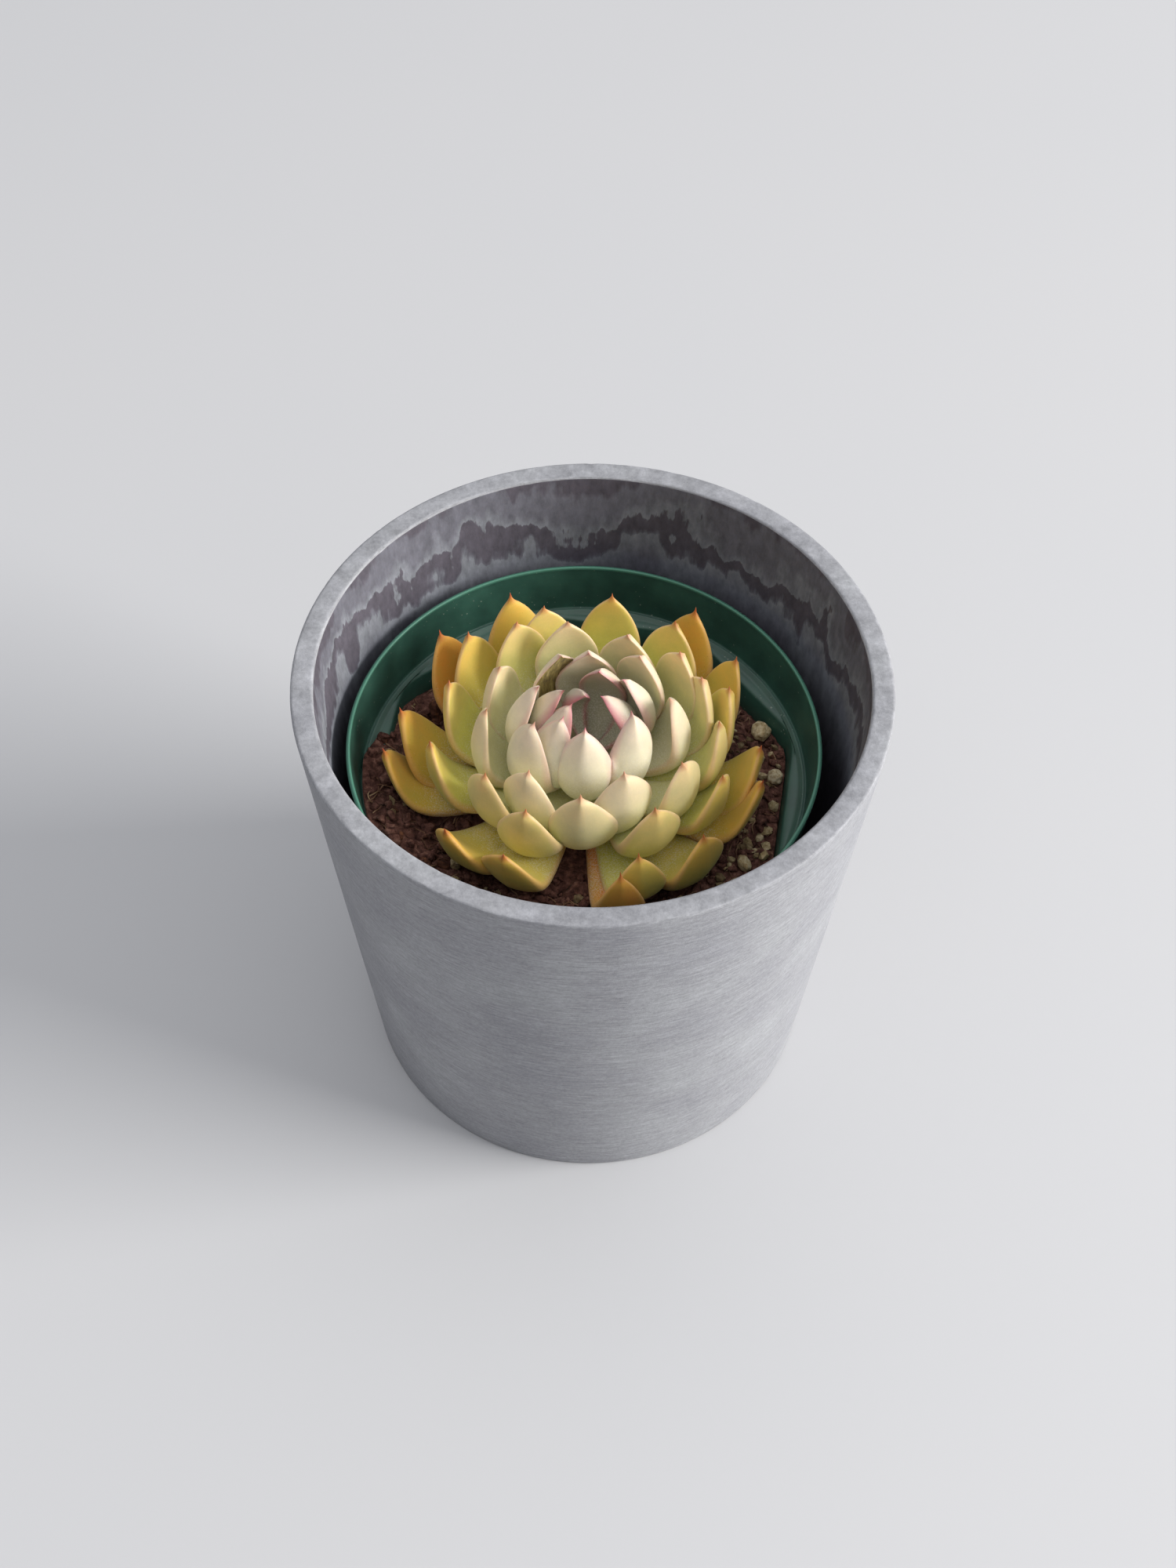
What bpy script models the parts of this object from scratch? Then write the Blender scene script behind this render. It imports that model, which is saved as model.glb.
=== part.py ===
# Potted rosette succulent: a stone-look outer pot, a thin nursery pot standing in it, the
# potting soil, a short stem, its fleshy leaves one by one, and the larger pieces of grit.
# Metres, +Z up, the origin in the middle of the outer pot's underside.

import bpy
import bmesh
import math
import random
from mathutils import Matrix, Vector
from mathutils.bvhtree import BVHTree

MM = 0.001
GAP = 0.3 * MM                     # clearance between pieces that touch

# Outer pot, a straight-sided tub with a flat rim
POT_RADIUS = 65.0 * MM             # outside, at the rim
POT_BASE_RADIUS = 54.5 * MM        # outside, at the foot
POT_HEIGHT = 120.5 * MM
POT_WALL = 5.0 * MM
POT_FLOOR = 5.0 * MM
POT_EDGE = 0.7 * MM                # rounding of the rim's edges and the foot
POT_INNER_ROUND = 3.0 * MM         # where the floor turns up into the wall
POT_SEGMENTS = 64

# Nursery pot, round at the rim and eight-sided below its ledge
NURSERY_CENTRE = Vector((-1.7, -0.9, 0.0)) * MM
NURSERY_RADIUS = 52.9 * MM         # outside of the round band, at the rim
NURSERY_BAND_RADIUS = 51.4 * MM    # outside of the round band, at its foot
NURSERY_RIM_HEIGHT = 99.5 * MM     # above the table
NURSERY_BAND_DEPTH = 13.0 * MM
NURSERY_LEDGE_FALL = 1.0 * MM      # the ledge slopes inwards by this much
NURSERY_APOTHEM = 47.0 * MM        # middle of a flat side, just under the ledge
NURSERY_BASE_APOTHEM = 37.0 * MM
NURSERY_WALL = 0.9 * MM
NURSERY_SIDES = 8
NURSERY_TURN = math.radians(14.0)  # where the first corner points
NURSERY_SEGMENTS = 48
CORNER_ROUND = 0.06                # share of the apothem taken off each corner
DRAIN_RADIUS = 3.0 * MM
DRAIN_CIRCLE = 24.0 * MM

# Potting soil
SOIL_EDGE_HEIGHT = 80.5 * MM
SOIL_MOUND = 1.5 * MM
SOIL_MOUND_RADIUS = 40.0 * MM
SOIL_SHOULDER = 1.0 * MM           # height of the rounded edge next to the wall
SOIL_RING_STEP = 0.15 * MM         # keeps the rings of the edge one above another
SOIL_EDGE_GAP = 1.2 * MM           # the soil has shrunk from the wall by this much
SOIL_ROUGHNESS = 0.5 * MM
SOIL_HUMP_X = 7.3 * MM             # the humps' spacing along each axis, divided by 2 pi
SOIL_HUMP_Y = 8.1 * MM
SOIL_PILE_TOP = 88.2 * MM          # where soil was spilt over the ledge
SOIL_PILE_MIDDLE = math.radians(218.0)
SOIL_PILE_SPREAD = math.radians(84.0)

# Rosette
PLANT_AXIS = Vector((-1.0, -1.5, 0.0)) * MM
STEM_RADIUS = 4.0 * MM
STEM_TOP_RADIUS = 1.0 * MM
STEM_TOP = 98.0 * MM
STEM_BURIED = 8.0 * MM
STEM_SIDES = 16
STEM_RINGS = 7
CROWN_HEIGHT = 116.5 * MM          # tips of the innermost leaves
CROWN_SPAN = 41.0 * MM             # reach at which the tips have dropped by CROWN_DROP
CROWN_DROP = 10.5 * MM
CROWN_LEAN = 4.5 * MM              # extra drop at the front, less at the back
HEART_REACH = 7.0 * MM             # inside this reach the tips sink into a hollow
HEART_DIP = 4.0 * MM
LEAF_WIDTH = 14.0 * MM
LEAF_THICKNESS = 3.8 * MM
LEAF_ELBOW = 0.57                  # how far the blade runs out before it turns up
LEAF_FOOT_TOP = 99.0 * MM          # where the youngest leaves join the stem
LEAF_FOOT_FALL = 14.5 * MM         # how much lower the oldest ones join it
LEAF_WIDEST = 0.62                 # share of the length at which the blade is widest
LEAF_FOOT_WIDTH = 0.30             # width of the foot as a share of the widest
LEAF_DISH = 0.16                   # how far the edges curl up, as a share of the half width
LEAF_FACE = 0.25                   # share of the thickness above the midline; the rest is below
LEAF_STATIONS = 7
LEAF_SIDES = 8

# One row per turn of the rosette, from the heart outwards: each leaf's compass direction
# in degrees, counted from +X towards +Y, and how far its tip reaches from the axis in mm.
LEAF_TURNS = (
    ((110, 1.4), (20, 2.8), (205, 3.6), (165, 5.2), (70, 6.5), (28, 8.4), (231, 8.0), (267, 9.2)),
    ((335, 10.3), (169, 10.7), (90, 11.5), (119, 12.2), (213, 13.4), (46, 16.0), (1, 17.6)),
    ((65, 20.0), (293, 20.2), (155, 21.3), (186, 21.9), (236, 21.9), (102, 22.5),
     (267, 23.9), (36, 24.9), (324, 25.0), (18, 26.1)),
    ((219, 27.8), (125, 28.2), (354, 28.7), (244, 29.1), (300, 29.1), (110, 29.8),
     (52, 31.4), (166, 31.6), (13, 31.9), (81, 33.0), (332, 33.1)),
    ((141, 34.9), (192, 35.0), (27, 37.2), (288, 36.0), (281, 38.6), (311, 38.0),
     (243, 38.3), (351, 38.5), (118, 38.6), (52, 39.4)),
    ((222, 40.7), (340, 40.8), (175, 41.8), (144, 41.9), (187, 45.3)),
)

# Larger pieces of grit on the soil: name, place from the pot's axis in mm, size across in mm,
# flattening and colour
GRIT = (
    ("pumice_piece_1", (39.5, 15.3), 5.2, 0.75, (0.72, 0.64, 0.48)),
    ("pumice_piece_2", (42.2, 2.0), 3.8, 0.80, (0.74, 0.66, 0.52)),
    ("pumice_piece_3", (34.4, -22.5), 4.2, 0.60, (0.66, 0.60, 0.48)),
    ("bark_piece", (-37.0, 20.5), 6.0, 0.45, (0.23, 0.11, 0.06)),
)


def clear_scene():
    for item in list(bpy.data.objects):
        bpy.data.objects.remove(item, do_unlink=True)
    for group in list(bpy.data.collections):
        bpy.data.collections.remove(group)


def new_collection(name):
    group = bpy.data.collections.new(name)
    bpy.context.scene.collection.children.link(group)
    return group


def make_material(name, colour, roughness, metallic=0.0):
    mat = bpy.data.materials.new(name)
    mat.use_nodes = True
    shader = mat.node_tree.nodes["Principled BSDF"]
    shader.inputs["Base Color"].default_value = (*colour, 1.0)
    shader.inputs["Roughness"].default_value = roughness
    shader.inputs["Metallic"].default_value = metallic
    mat.diffuse_color = (*colour, 1.0)
    return mat


def mesh_object(name, bm, group, mat):
    """Turn a bmesh into a smooth-shaded object of its own."""
    bmesh.ops.recalc_face_normals(bm, faces=bm.faces)
    mesh = bpy.data.meshes.new(name)
    bm.to_mesh(mesh)
    bm.free()
    mesh.shade_smooth()
    mesh.set_sharp_from_angle(angle=math.radians(40.0))
    obj = bpy.data.objects.new(name, mesh)
    group.objects.link(obj)
    mesh.materials.append(mat)
    return obj


def bridge(bm, lower, upper):
    """Join two rings of the same number of points with quads."""
    count = len(lower)
    for i in range(count):
        j = (i + 1) % count
        bm.faces.new((lower[i], lower[j], upper[j], upper[i]))


def loft(rings, start=None, end=None):
    """Loft through rings of points; each end closes on a point, or stays open."""
    bm = bmesh.new()
    loops = [[bm.verts.new(point) for point in ring] for ring in rings]
    for lower, upper in zip(loops, loops[1:]):
        bridge(bm, lower, upper)
    for loop, pole in ((loops[0], start), (loops[-1], end)):
        if pole is None:
            continue
        tip = bm.verts.new(pole)
        for i, vert in enumerate(loop):
            bm.faces.new((vert, loop[(i + 1) % len(loop)], tip))
    return bm


# ---------------------------------------------------------------- outer pot

def rounded_corner(before, corner, after, radius, steps=2):
    """Points of a small round where two straight runs of a profile meet."""
    towards = (before - corner).normalized() * radius
    away = (after - corner).normalized() * radius
    points = []
    for k in range(steps + 1):
        t = k / steps
        points.append(corner + towards * (1 - t) ** 2 + away * t ** 2)
    return points


def outer_pot_profile():
    """Half section of the tub, from the middle of its floor over the rim to its underside."""
    slope = (POT_RADIUS - POT_BASE_RADIUS) / POT_HEIGHT
    floor_radius = POT_BASE_RADIUS + slope * POT_FLOOR - POT_WALL
    floor_middle = Vector((0.0, POT_FLOOR))
    floor_edge = Vector((floor_radius, POT_FLOOR))
    rim_inner = Vector((POT_RADIUS - POT_WALL, POT_HEIGHT))
    rim_outer = Vector((POT_RADIUS, POT_HEIGHT))
    foot = Vector((POT_BASE_RADIUS, 0.0))
    underside = Vector((0.0, 0.0))
    run = [floor_middle]
    run += rounded_corner(floor_middle, floor_edge, rim_inner, POT_INNER_ROUND)
    run += rounded_corner(floor_edge, rim_inner, rim_outer, POT_EDGE)
    run += rounded_corner(rim_inner, rim_outer, foot, POT_EDGE)
    run += rounded_corner(rim_outer, foot, underside, POT_EDGE)
    run.append(underside)
    return run


def make_outer_pot(group):
    bm = bmesh.new()
    verts = [bm.verts.new((point.x, 0.0, point.y)) for point in outer_pot_profile()]
    for first, second in zip(verts, verts[1:]):
        bm.edges.new((first, second))
    mesh = bpy.data.meshes.new("outer_pot")
    bm.to_mesh(mesh)
    bm.free()
    pot = bpy.data.objects.new("outer_pot", mesh)
    group.objects.link(pot)
    mesh.materials.append(make_material("moulded_stone_composite", (0.30, 0.31, 0.33), 0.7))
    screw = pot.modifiers.new("turn", "SCREW")
    screw.axis = "Z"
    screw.steps = POT_SEGMENTS
    screw.render_steps = POT_SEGMENTS
    screw.use_merge_vertices = True
    screw.merge_threshold = 0.00001
    screw.use_smooth_shade = True
    return pot


# -------------------------------------------------------------- nursery pot

def polygon_reach(angle, apothem):
    """Distance from the axis to an eight-sided outline whose corners are slightly rounded."""
    step = 2 * math.pi / NURSERY_SIDES
    off = (angle - NURSERY_TURN) % step - step / 2
    sharp = 1.0 / math.cos(off)
    most = 1.0 / math.cos(step / 2)
    return apothem * (sharp - CORNER_ROUND * max(0.0, (sharp - 1.0) / (most - 1.0)) ** 3)


def nursery_ring(height, radius=None, apothem=None, inset=0.0, centre=NURSERY_CENTRE):
    """One ring round the nursery pot's axis, either round or eight-sided."""
    points = []
    for k in range(NURSERY_SEGMENTS):
        angle = NURSERY_TURN + 2 * math.pi * k / NURSERY_SEGMENTS
        reach = radius if apothem is None else polygon_reach(angle, apothem)
        reach -= inset
        points.append(centre + Vector((reach * math.cos(angle), reach * math.sin(angle), height)))
    return points


def nursery_heights():
    floor = POT_FLOOR + GAP
    ledge = NURSERY_RIM_HEIGHT - NURSERY_BAND_DEPTH
    return floor, ledge


def make_nursery_pot(group, tools):
    floor, ledge = nursery_heights()
    rings = [
        nursery_ring(NURSERY_RIM_HEIGHT, radius=NURSERY_RADIUS),
        nursery_ring(ledge, radius=NURSERY_BAND_RADIUS),
        nursery_ring(ledge - NURSERY_LEDGE_FALL, apothem=NURSERY_APOTHEM),
        nursery_ring(floor, apothem=NURSERY_BASE_APOTHEM),
    ]
    bm = loft(rings)
    bm.verts.ensure_lookup_table()
    bm.faces.new(bm.verts[-NURSERY_SEGMENTS:])
    mat = make_material("green_polypropylene", (0.02, 0.10, 0.07), 0.45)
    pot = mesh_object("nursery_pot", bm, group, mat)
    shell = pot.modifiers.new("wall", "SOLIDIFY")
    shell.thickness = NURSERY_WALL
    shell.offset = -1.0
    shell.use_even_offset = True
    for k in range(NURSERY_SIDES):
        angle = NURSERY_TURN + 2 * math.pi * (k + 0.5) / NURSERY_SIDES
        place = NURSERY_CENTRE + Vector((math.cos(angle), math.sin(angle), 0.0)) * DRAIN_CIRCLE
        place.z = floor + NURSERY_WALL / 2
        drill = bmesh.new()
        bmesh.ops.create_cone(drill, cap_ends=True, segments=12, radius1=DRAIN_RADIUS,
                              radius2=DRAIN_RADIUS, depth=4 * NURSERY_WALL,
                              matrix=Matrix.Translation(place))
        cutter = mesh_object(f"drain_drill_{k + 1}", drill, tools, mat)
        cutter.hide_render = True
        cutter.display_type = "WIRE"
        hole = pot.modifiers.new(f"drain_{k + 1}", "BOOLEAN")
        hole.operation = "DIFFERENCE"
        hole.solver = "EXACT"
        hole.object = cutter
    return pot


# ------------------------------------------------------------ soil and stem

def soil_height(x, y):
    """Height of the soil's surface: a low mound with a few soft humps."""
    place = Vector((x, y, 0.0)) - PLANT_AXIS
    mound = SOIL_MOUND * max(0.0, 1.0 - (place.length / SOIL_MOUND_RADIUS) ** 2)
    humps = SOIL_ROUGHNESS * math.sin(x / SOIL_HUMP_X + 1.0) * math.cos(y / SOIL_HUMP_Y)
    return SOIL_EDGE_HEIGHT + mound + humps


def soil_pile(angle):
    """1 in the middle of the spilt soil, falling smoothly to 0 at its ends."""
    away = abs((angle - SOIL_PILE_MIDDLE + math.pi) % (2 * math.pi) - math.pi)
    near = max(0.0, 1.0 - away / SOIL_PILE_SPREAD)
    return near * near * (3.0 - 2.0 * near)


def make_soil(group):
    floor, ledge = nursery_heights()
    inset = NURSERY_WALL + GAP
    bottom = floor + NURSERY_WALL + GAP
    slope = (NURSERY_APOTHEM - NURSERY_BASE_APOTHEM) / (ledge - NURSERY_LEDGE_FALL - floor)
    rings = []
    for height in (bottom, SOIL_EDGE_HEIGHT - SOIL_SHOULDER):
        apothem = NURSERY_BASE_APOTHEM + slope * (height - floor)
        rings.append(nursery_ring(height, apothem=apothem, inset=inset * 1.1))
    edge_apothem = NURSERY_APOTHEM - inset - SOIL_EDGE_GAP
    brim = NURSERY_BAND_RADIUS - NURSERY_WALL - 2 * GAP
    above_ledge = ledge + 2 * GAP
    # neck, overhang and top of the spilt soil, which shrink to nothing where there is none
    for share_out, height in ((0.0, above_ledge), (1.0, above_ledge), (0.97, SOIL_PILE_TOP)):
        ring = []
        for point in nursery_ring(0.0, apothem=edge_apothem):
            flat = point - NURSERY_CENTRE
            pile = soil_pile(math.atan2(flat.y, flat.x))
            reach = flat.length + (brim - flat.length) * share_out * pile
            place = NURSERY_CENTRE + flat.normalized() * reach
            low = SOIL_EDGE_HEIGHT - SOIL_SHOULDER / 2 + SOIL_RING_STEP * (len(rings) - 2)
            ring.append(Vector((place.x, place.y, low + (height - low) * min(1.0, 4.0 * pile))))
        rings.append(ring)
    for share in (0.93, 0.84, 0.70, 0.52, 0.34):
        ring = []
        for point in nursery_ring(0.0, apothem=edge_apothem):
            flat = NURSERY_CENTRE + (point - NURSERY_CENTRE) * share
            ring.append(Vector((flat.x, flat.y, soil_height(flat.x, flat.y))))
        rings.append(ring)
    pocket = STEM_RADIUS + GAP
    stem_foot = soil_height(PLANT_AXIS.x, PLANT_AXIS.y) - STEM_BURIED
    for reach, height in ((pocket * 1.15, stem_foot + STEM_BURIED), (pocket, stem_foot - GAP)):
        rings.append(nursery_ring(height, radius=reach, centre=PLANT_AXIS))
    under = NURSERY_CENTRE + Vector((0.0, 0.0, bottom))
    over = PLANT_AXIS + Vector((0.0, 0.0, stem_foot - GAP))
    mat = make_material("peat_potting_mix", (0.055, 0.03, 0.02), 0.95)
    return mesh_object("potting_soil", loft(rings, start=under, end=over), group, mat)


def stem_radius_at(height):
    foot = soil_height(PLANT_AXIS.x, PLANT_AXIS.y)
    share = min(1.0, max(0.0, (height - foot) / (STEM_TOP - foot)))
    return STEM_RADIUS + (STEM_TOP_RADIUS - STEM_RADIUS) * share


def make_stem(group):
    foot = soil_height(PLANT_AXIS.x, PLANT_AXIS.y) - STEM_BURIED
    rings = []
    for k in range(STEM_RINGS):
        height = foot + (STEM_TOP - foot) * k / (STEM_RINGS - 1)
        radius = stem_radius_at(height)
        ring = []
        for i in range(STEM_SIDES):
            angle = 2 * math.pi * i / STEM_SIDES
            out = Vector((math.cos(angle), math.sin(angle), 0.0))
            ring.append(PLANT_AXIS + out * radius + Vector((0.0, 0.0, height)))
        rings.append(ring)
    bottom = PLANT_AXIS + Vector((0.0, 0.0, foot))
    top = PLANT_AXIS + Vector((0.0, 0.0, STEM_TOP + STEM_TOP_RADIUS))
    mat = make_material("stem_skin", (0.30, 0.34, 0.16), 0.7)
    return mesh_object("stem", loft(rings, start=bottom, end=top), group, mat)


# ------------------------------------------------------------------- leaves

def leaf_shape(angle, reach):
    """Everything about a leaf that follows from where its tip is."""
    drop = CROWN_DROP - CROWN_LEAN * math.sin(angle)
    tip = CROWN_HEIGHT - drop * (reach / CROWN_SPAN) ** 2
    tip -= HEART_DIP * max(0.0, 1.0 - reach / HEART_REACH)
    age = min(1.0, reach / CROWN_SPAN)
    base = LEAF_FOOT_TOP - LEAF_FOOT_FALL * age ** 0.6
    return {
        "tip": (reach, tip),
        "base": (stem_radius_at(base) + 2 * GAP, base),
        "leave": math.radians(4.0 + 46.0 * math.exp(-reach / (8.0 * MM))),
        "arrive": math.radians(130.0 - 50.0 * age),
        "width": LEAF_WIDTH * (1.0 - math.exp(-(reach / MM + 2.0) / 6.0)),
        "thickness": LEAF_THICKNESS * (0.45 + 0.55 * age ** 0.5),
    }


def leaf_spine(shape, t):
    """Point and direction of the leaf's midline in its own upright plane, as (out, up)."""
    base = Vector(shape["base"])
    tip = Vector(shape["tip"])
    pull = (tip - base).length * LEAF_ELBOW
    first = base + pull * Vector((math.cos(shape["leave"]), math.sin(shape["leave"])))
    second = tip - pull * Vector((math.cos(shape["arrive"]), math.sin(shape["arrive"])))
    s = 1.0 - t
    point = s ** 3 * base + 3 * s * s * t * first + 3 * s * t * t * second + t ** 3 * tip
    along = s * s * (first - base) + 2 * s * t * (second - first) + t * t * (tip - second)
    return point, along.normalized()


def leaf_half_width(t):
    """Outline of the blade: a narrow foot, widest past the middle, then a short point."""
    growth = math.sin(math.pi / 2 * min(1.0, t / LEAF_WIDEST)) ** 1.5
    foot = LEAF_FOOT_WIDTH + (1.0 - LEAF_FOOT_WIDTH) * growth
    point = max(0.0, (t - LEAF_WIDEST) / (1.0 - LEAF_WIDEST))
    return foot * max(0.0, 1.0 - point ** 2.3) ** 0.8


def leaf_body(angle, shape, grow=0.0):
    """Loft one leaf; grow fattens it all round, for cutting clearance."""
    out = Vector((math.cos(angle), math.sin(angle), 0.0))
    side = Vector((-math.sin(angle), math.cos(angle), 0.0))
    rings = []
    for k in range(LEAF_STATIONS):
        t = 0.02 + 0.94 * k / (LEAF_STATIONS - 1)
        middle, along = leaf_spine(shape, t)
        half_width = leaf_half_width(t) * shape["width"] / 2 + grow
        thick = shape["thickness"] * (0.55 + 0.45 * math.sin(math.pi * t)) * (1.0 - 0.6 * t ** 4)
        ring = []
        for i in range(LEAF_SIDES):
            turn = 2 * math.pi * i / LEAF_SIDES
            across = half_width * math.cos(turn)
            dish = LEAF_DISH * half_width * math.cos(turn) ** 2
            depth = (LEAF_FACE if math.sin(turn) > 0 else 1.0 - LEAF_FACE) * thick + grow
            rise = dish + depth * math.sin(turn)
            place = middle + rise * Vector((-along.y, along.x))
            point = PLANT_AXIS + out * place.x + side * across
            ring.append(point + Vector((0.0, 0.0, place.y)))
        rings.append(ring)
    ends = []
    for t, outwards in ((0.0, -grow), (1.0, grow)):
        middle, along = leaf_spine(shape, t)
        place = middle + along * outwards
        ends.append(PLANT_AXIS + out * place.x + Vector((0.0, 0.0, place.y)))
    return loft(rings, start=ends[0], end=ends[1])


def keep_largest_body(mesh):
    """Drop the crumbs that a cut leaves behind, and the doubled points along it."""
    bm = bmesh.new()
    bm.from_mesh(mesh)
    bmesh.ops.remove_doubles(bm, verts=bm.verts, dist=0.00001)
    bmesh.ops.dissolve_degenerate(bm, edges=bm.edges, dist=0.00001)
    todo = set(bm.faces)
    bodies = []
    while todo:
        stack = [todo.pop()]
        body = list(stack)
        while stack:
            for edge in stack.pop().edges:
                for face in edge.link_faces:
                    if face in todo and len(edge.link_faces) == 2:
                        todo.remove(face)
                        body.append(face)
                        stack.append(face)
        bodies.append(body)
    bodies.sort(key=lambda body: sum(face.calc_area() for face in body), reverse=True)
    crumbs = [face for body in bodies[1:] for face in body]
    bmesh.ops.delete(bm, geom=crumbs, context="FACES")
    loose = [vert for vert in bm.verts if not vert.link_faces]
    bmesh.ops.delete(bm, geom=loose, context="VERTS")
    return bm


def make_leaves(group, tools):
    """Leaves from the heart outwards; each outer leaf is trimmed clear of the inner ones."""
    made = []
    number = 0
    for row in LEAF_TURNS:
        for degrees, reach_mm in row:
            number += 1
            angle = math.radians(degrees)
            age = min(1.0, reach_mm * MM / CROWN_SPAN)
            shape = leaf_shape(angle, reach_mm * MM)
            colour = (0.62 - 0.20 * age, 0.62 - 0.16 * age, 0.42 - 0.36 * age)
            mat = make_material(f"leaf_skin_{number:02d}", colour, 0.5)
            name = f"leaf_{number:02d}"
            leaf = mesh_object(name, leaf_body(angle, shape), group, mat)
            tree = BVHTree.FromObject(leaf, bpy.context.evaluated_depsgraph_get())
            guard = leaf_body(angle, shape, grow=GAP)
            guard_tree = BVHTree.FromBMesh(guard)
            cutter = mesh_object(f"clearance_{number:02d}", guard, tools, mat)
            cutter.hide_render = True
            cutter.display_type = "WIRE"
            neighbours = [other for other_tree, other in made if tree.overlap(other_tree)]
            for index, other in enumerate(neighbours):
                cut = leaf.modifiers.new(f"clear_{index + 1}", "BOOLEAN")
                cut.operation = "DIFFERENCE"
                cut.solver = "EXACT"
                cut.object = other
            if neighbours:
                graph = bpy.context.evaluated_depsgraph_get()
                trimmed = bpy.data.meshes.new_from_object(leaf.evaluated_get(graph))
                leaf.modifiers.clear()
                body = keep_largest_body(trimmed)
                body.to_mesh(leaf.data)
                body.free()
            made.append((guard_tree, cutter))


# --------------------------------------------------------------------- grit

def make_grit(group):
    draw = random.Random(4)
    for name, (x, y), across, flatness, colour in GRIT:
        bm = bmesh.new()
        bmesh.ops.create_icosphere(bm, subdivisions=1, radius=0.5)
        for vert in bm.verts:
            vert.co *= 1.0 + 0.16 * (draw.random() - 0.5)
        size = across * MM
        turn = Matrix.Rotation(draw.uniform(0, math.pi), 4, "Z")
        bm.transform(turn @ Matrix.Diagonal((size, size * 0.8, size * flatness, 1.0)))
        highest = max(soil_height((x + dx) * MM, (y + dy) * MM)
                      for dx in (-2.5, 0.0, 2.5) for dy in (-2.5, 0.0, 2.5))
        lowest = min(vert.co.z for vert in bm.verts)
        bm.transform(Matrix.Translation((x * MM, y * MM, highest - lowest + 2 * GAP)))
        mesh_object(name, bm, group, make_material(name + "_mineral", colour, 0.9))


def main():
    clear_scene()
    parts = new_collection("potted_succulent")
    tools = new_collection("cutters")
    tools.hide_render = True
    make_outer_pot(parts)
    make_nursery_pot(parts, tools)
    make_soil(parts)
    make_stem(parts)
    make_leaves(parts, tools)
    make_grit(parts)


main()
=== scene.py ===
import math
import random

import bmesh
import bpy
import numpy as np
from mathutils import Matrix, Vector, noise
from mathutils.bvhtree import BVHTree


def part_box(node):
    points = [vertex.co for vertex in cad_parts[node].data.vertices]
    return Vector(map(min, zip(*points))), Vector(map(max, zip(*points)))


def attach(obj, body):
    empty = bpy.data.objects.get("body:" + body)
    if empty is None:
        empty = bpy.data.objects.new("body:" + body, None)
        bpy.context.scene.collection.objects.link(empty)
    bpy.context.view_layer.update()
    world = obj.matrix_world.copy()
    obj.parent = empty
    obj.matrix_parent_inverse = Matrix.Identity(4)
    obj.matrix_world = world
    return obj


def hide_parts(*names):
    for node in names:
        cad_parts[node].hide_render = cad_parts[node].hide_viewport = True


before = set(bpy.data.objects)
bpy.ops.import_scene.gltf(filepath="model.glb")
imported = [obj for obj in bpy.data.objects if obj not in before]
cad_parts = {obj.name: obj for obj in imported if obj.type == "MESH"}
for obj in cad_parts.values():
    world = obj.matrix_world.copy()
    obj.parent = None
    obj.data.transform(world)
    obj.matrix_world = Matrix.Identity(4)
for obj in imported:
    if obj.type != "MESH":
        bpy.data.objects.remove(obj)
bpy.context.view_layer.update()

# Finish of a potted rosette succulent. Everything is in metres, in the frame's own place.

mm = 0.001


# small tools

def hexToLinear(code, alpha=1.0):
    channels = [int(code[i:i + 2], 16) / 255 for i in (1, 3, 5)]
    linear = [c / 12.92 if c <= 0.04045 else ((c + 0.055) / 1.055) ** 2.4 for c in channels]
    return (*linear, alpha)


def addNode(tree, kind, inputs=None, stops=None, **settings):
    # one node with its settings, its ramp stops if it has a ramp, and its values or links
    node = tree.nodes.new(kind)
    for name, value in settings.items():
        setattr(node, name, value)
    if stops:
        ramp = node.color_ramp
        while len(ramp.elements) < len(stops):
            ramp.elements.new(0.5)
        for element, (place, code) in zip(ramp.elements, stops):
            element.position = place
            element.color = hexToLinear(code)
    for key, value in (inputs or {}).items():
        if isinstance(value, bpy.types.NodeSocket):
            tree.links.new(value, node.inputs[key])
        else:
            node.inputs[key].default_value = value
    return node


def newMaterial(name, **values):
    # Principled material; values are set straight on the shader's sockets
    material = bpy.data.materials.new(name)
    material.use_nodes = True
    shader = material.node_tree.nodes["Principled BSDF"]
    for key, value in values.items():
        shader.inputs[key.replace("_", " ")].default_value = value
    return material, material.node_tree, shader


def meshPiece(name, points, faces, materials, slots=None, flat=False):
    mesh = bpy.data.meshes.new(name)
    mesh.from_pydata([tuple(p) for p in points], [], faces)
    mesh.update()
    for material in materials:
        mesh.materials.append(material)
    if slots is not None:
        mesh.polygons.foreach_set("material_index", slots)
    if not flat:
        mesh.shade_smooth()
    piece = bpy.data.objects.new(name, mesh)
    bpy.context.scene.collection.objects.link(piece)
    return piece


def gridFaces(rows, columns):
    # quads between rows of points that each close on themselves
    faces = []
    for r in range(rows - 1):
        for c in range(columns):
            n = (c + 1) % columns
            faces.append((r * columns + c, r * columns + n, (r + 1) * columns + n, (r + 1) * columns + c))
    return faces


def capFaces(first, columns, pole, flip):
    # triangles from one closed row to a single point
    faces = []
    for c in range(columns):
        a, b = first + c, first + (c + 1) % columns
        faces.append((b, a, pole) if flip else (a, b, pole))
    return faces


def settle(piece, slot, *nodes):
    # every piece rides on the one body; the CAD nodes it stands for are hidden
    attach(piece, "root")
    if nodes:
        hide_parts(*nodes)


# outer pot: resin and stone powder moulded as one, then sanded round, so the eye gets a dull
# mid grey with fine level streaks, pale dust in the pores and a paler rim with small nicks

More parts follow.
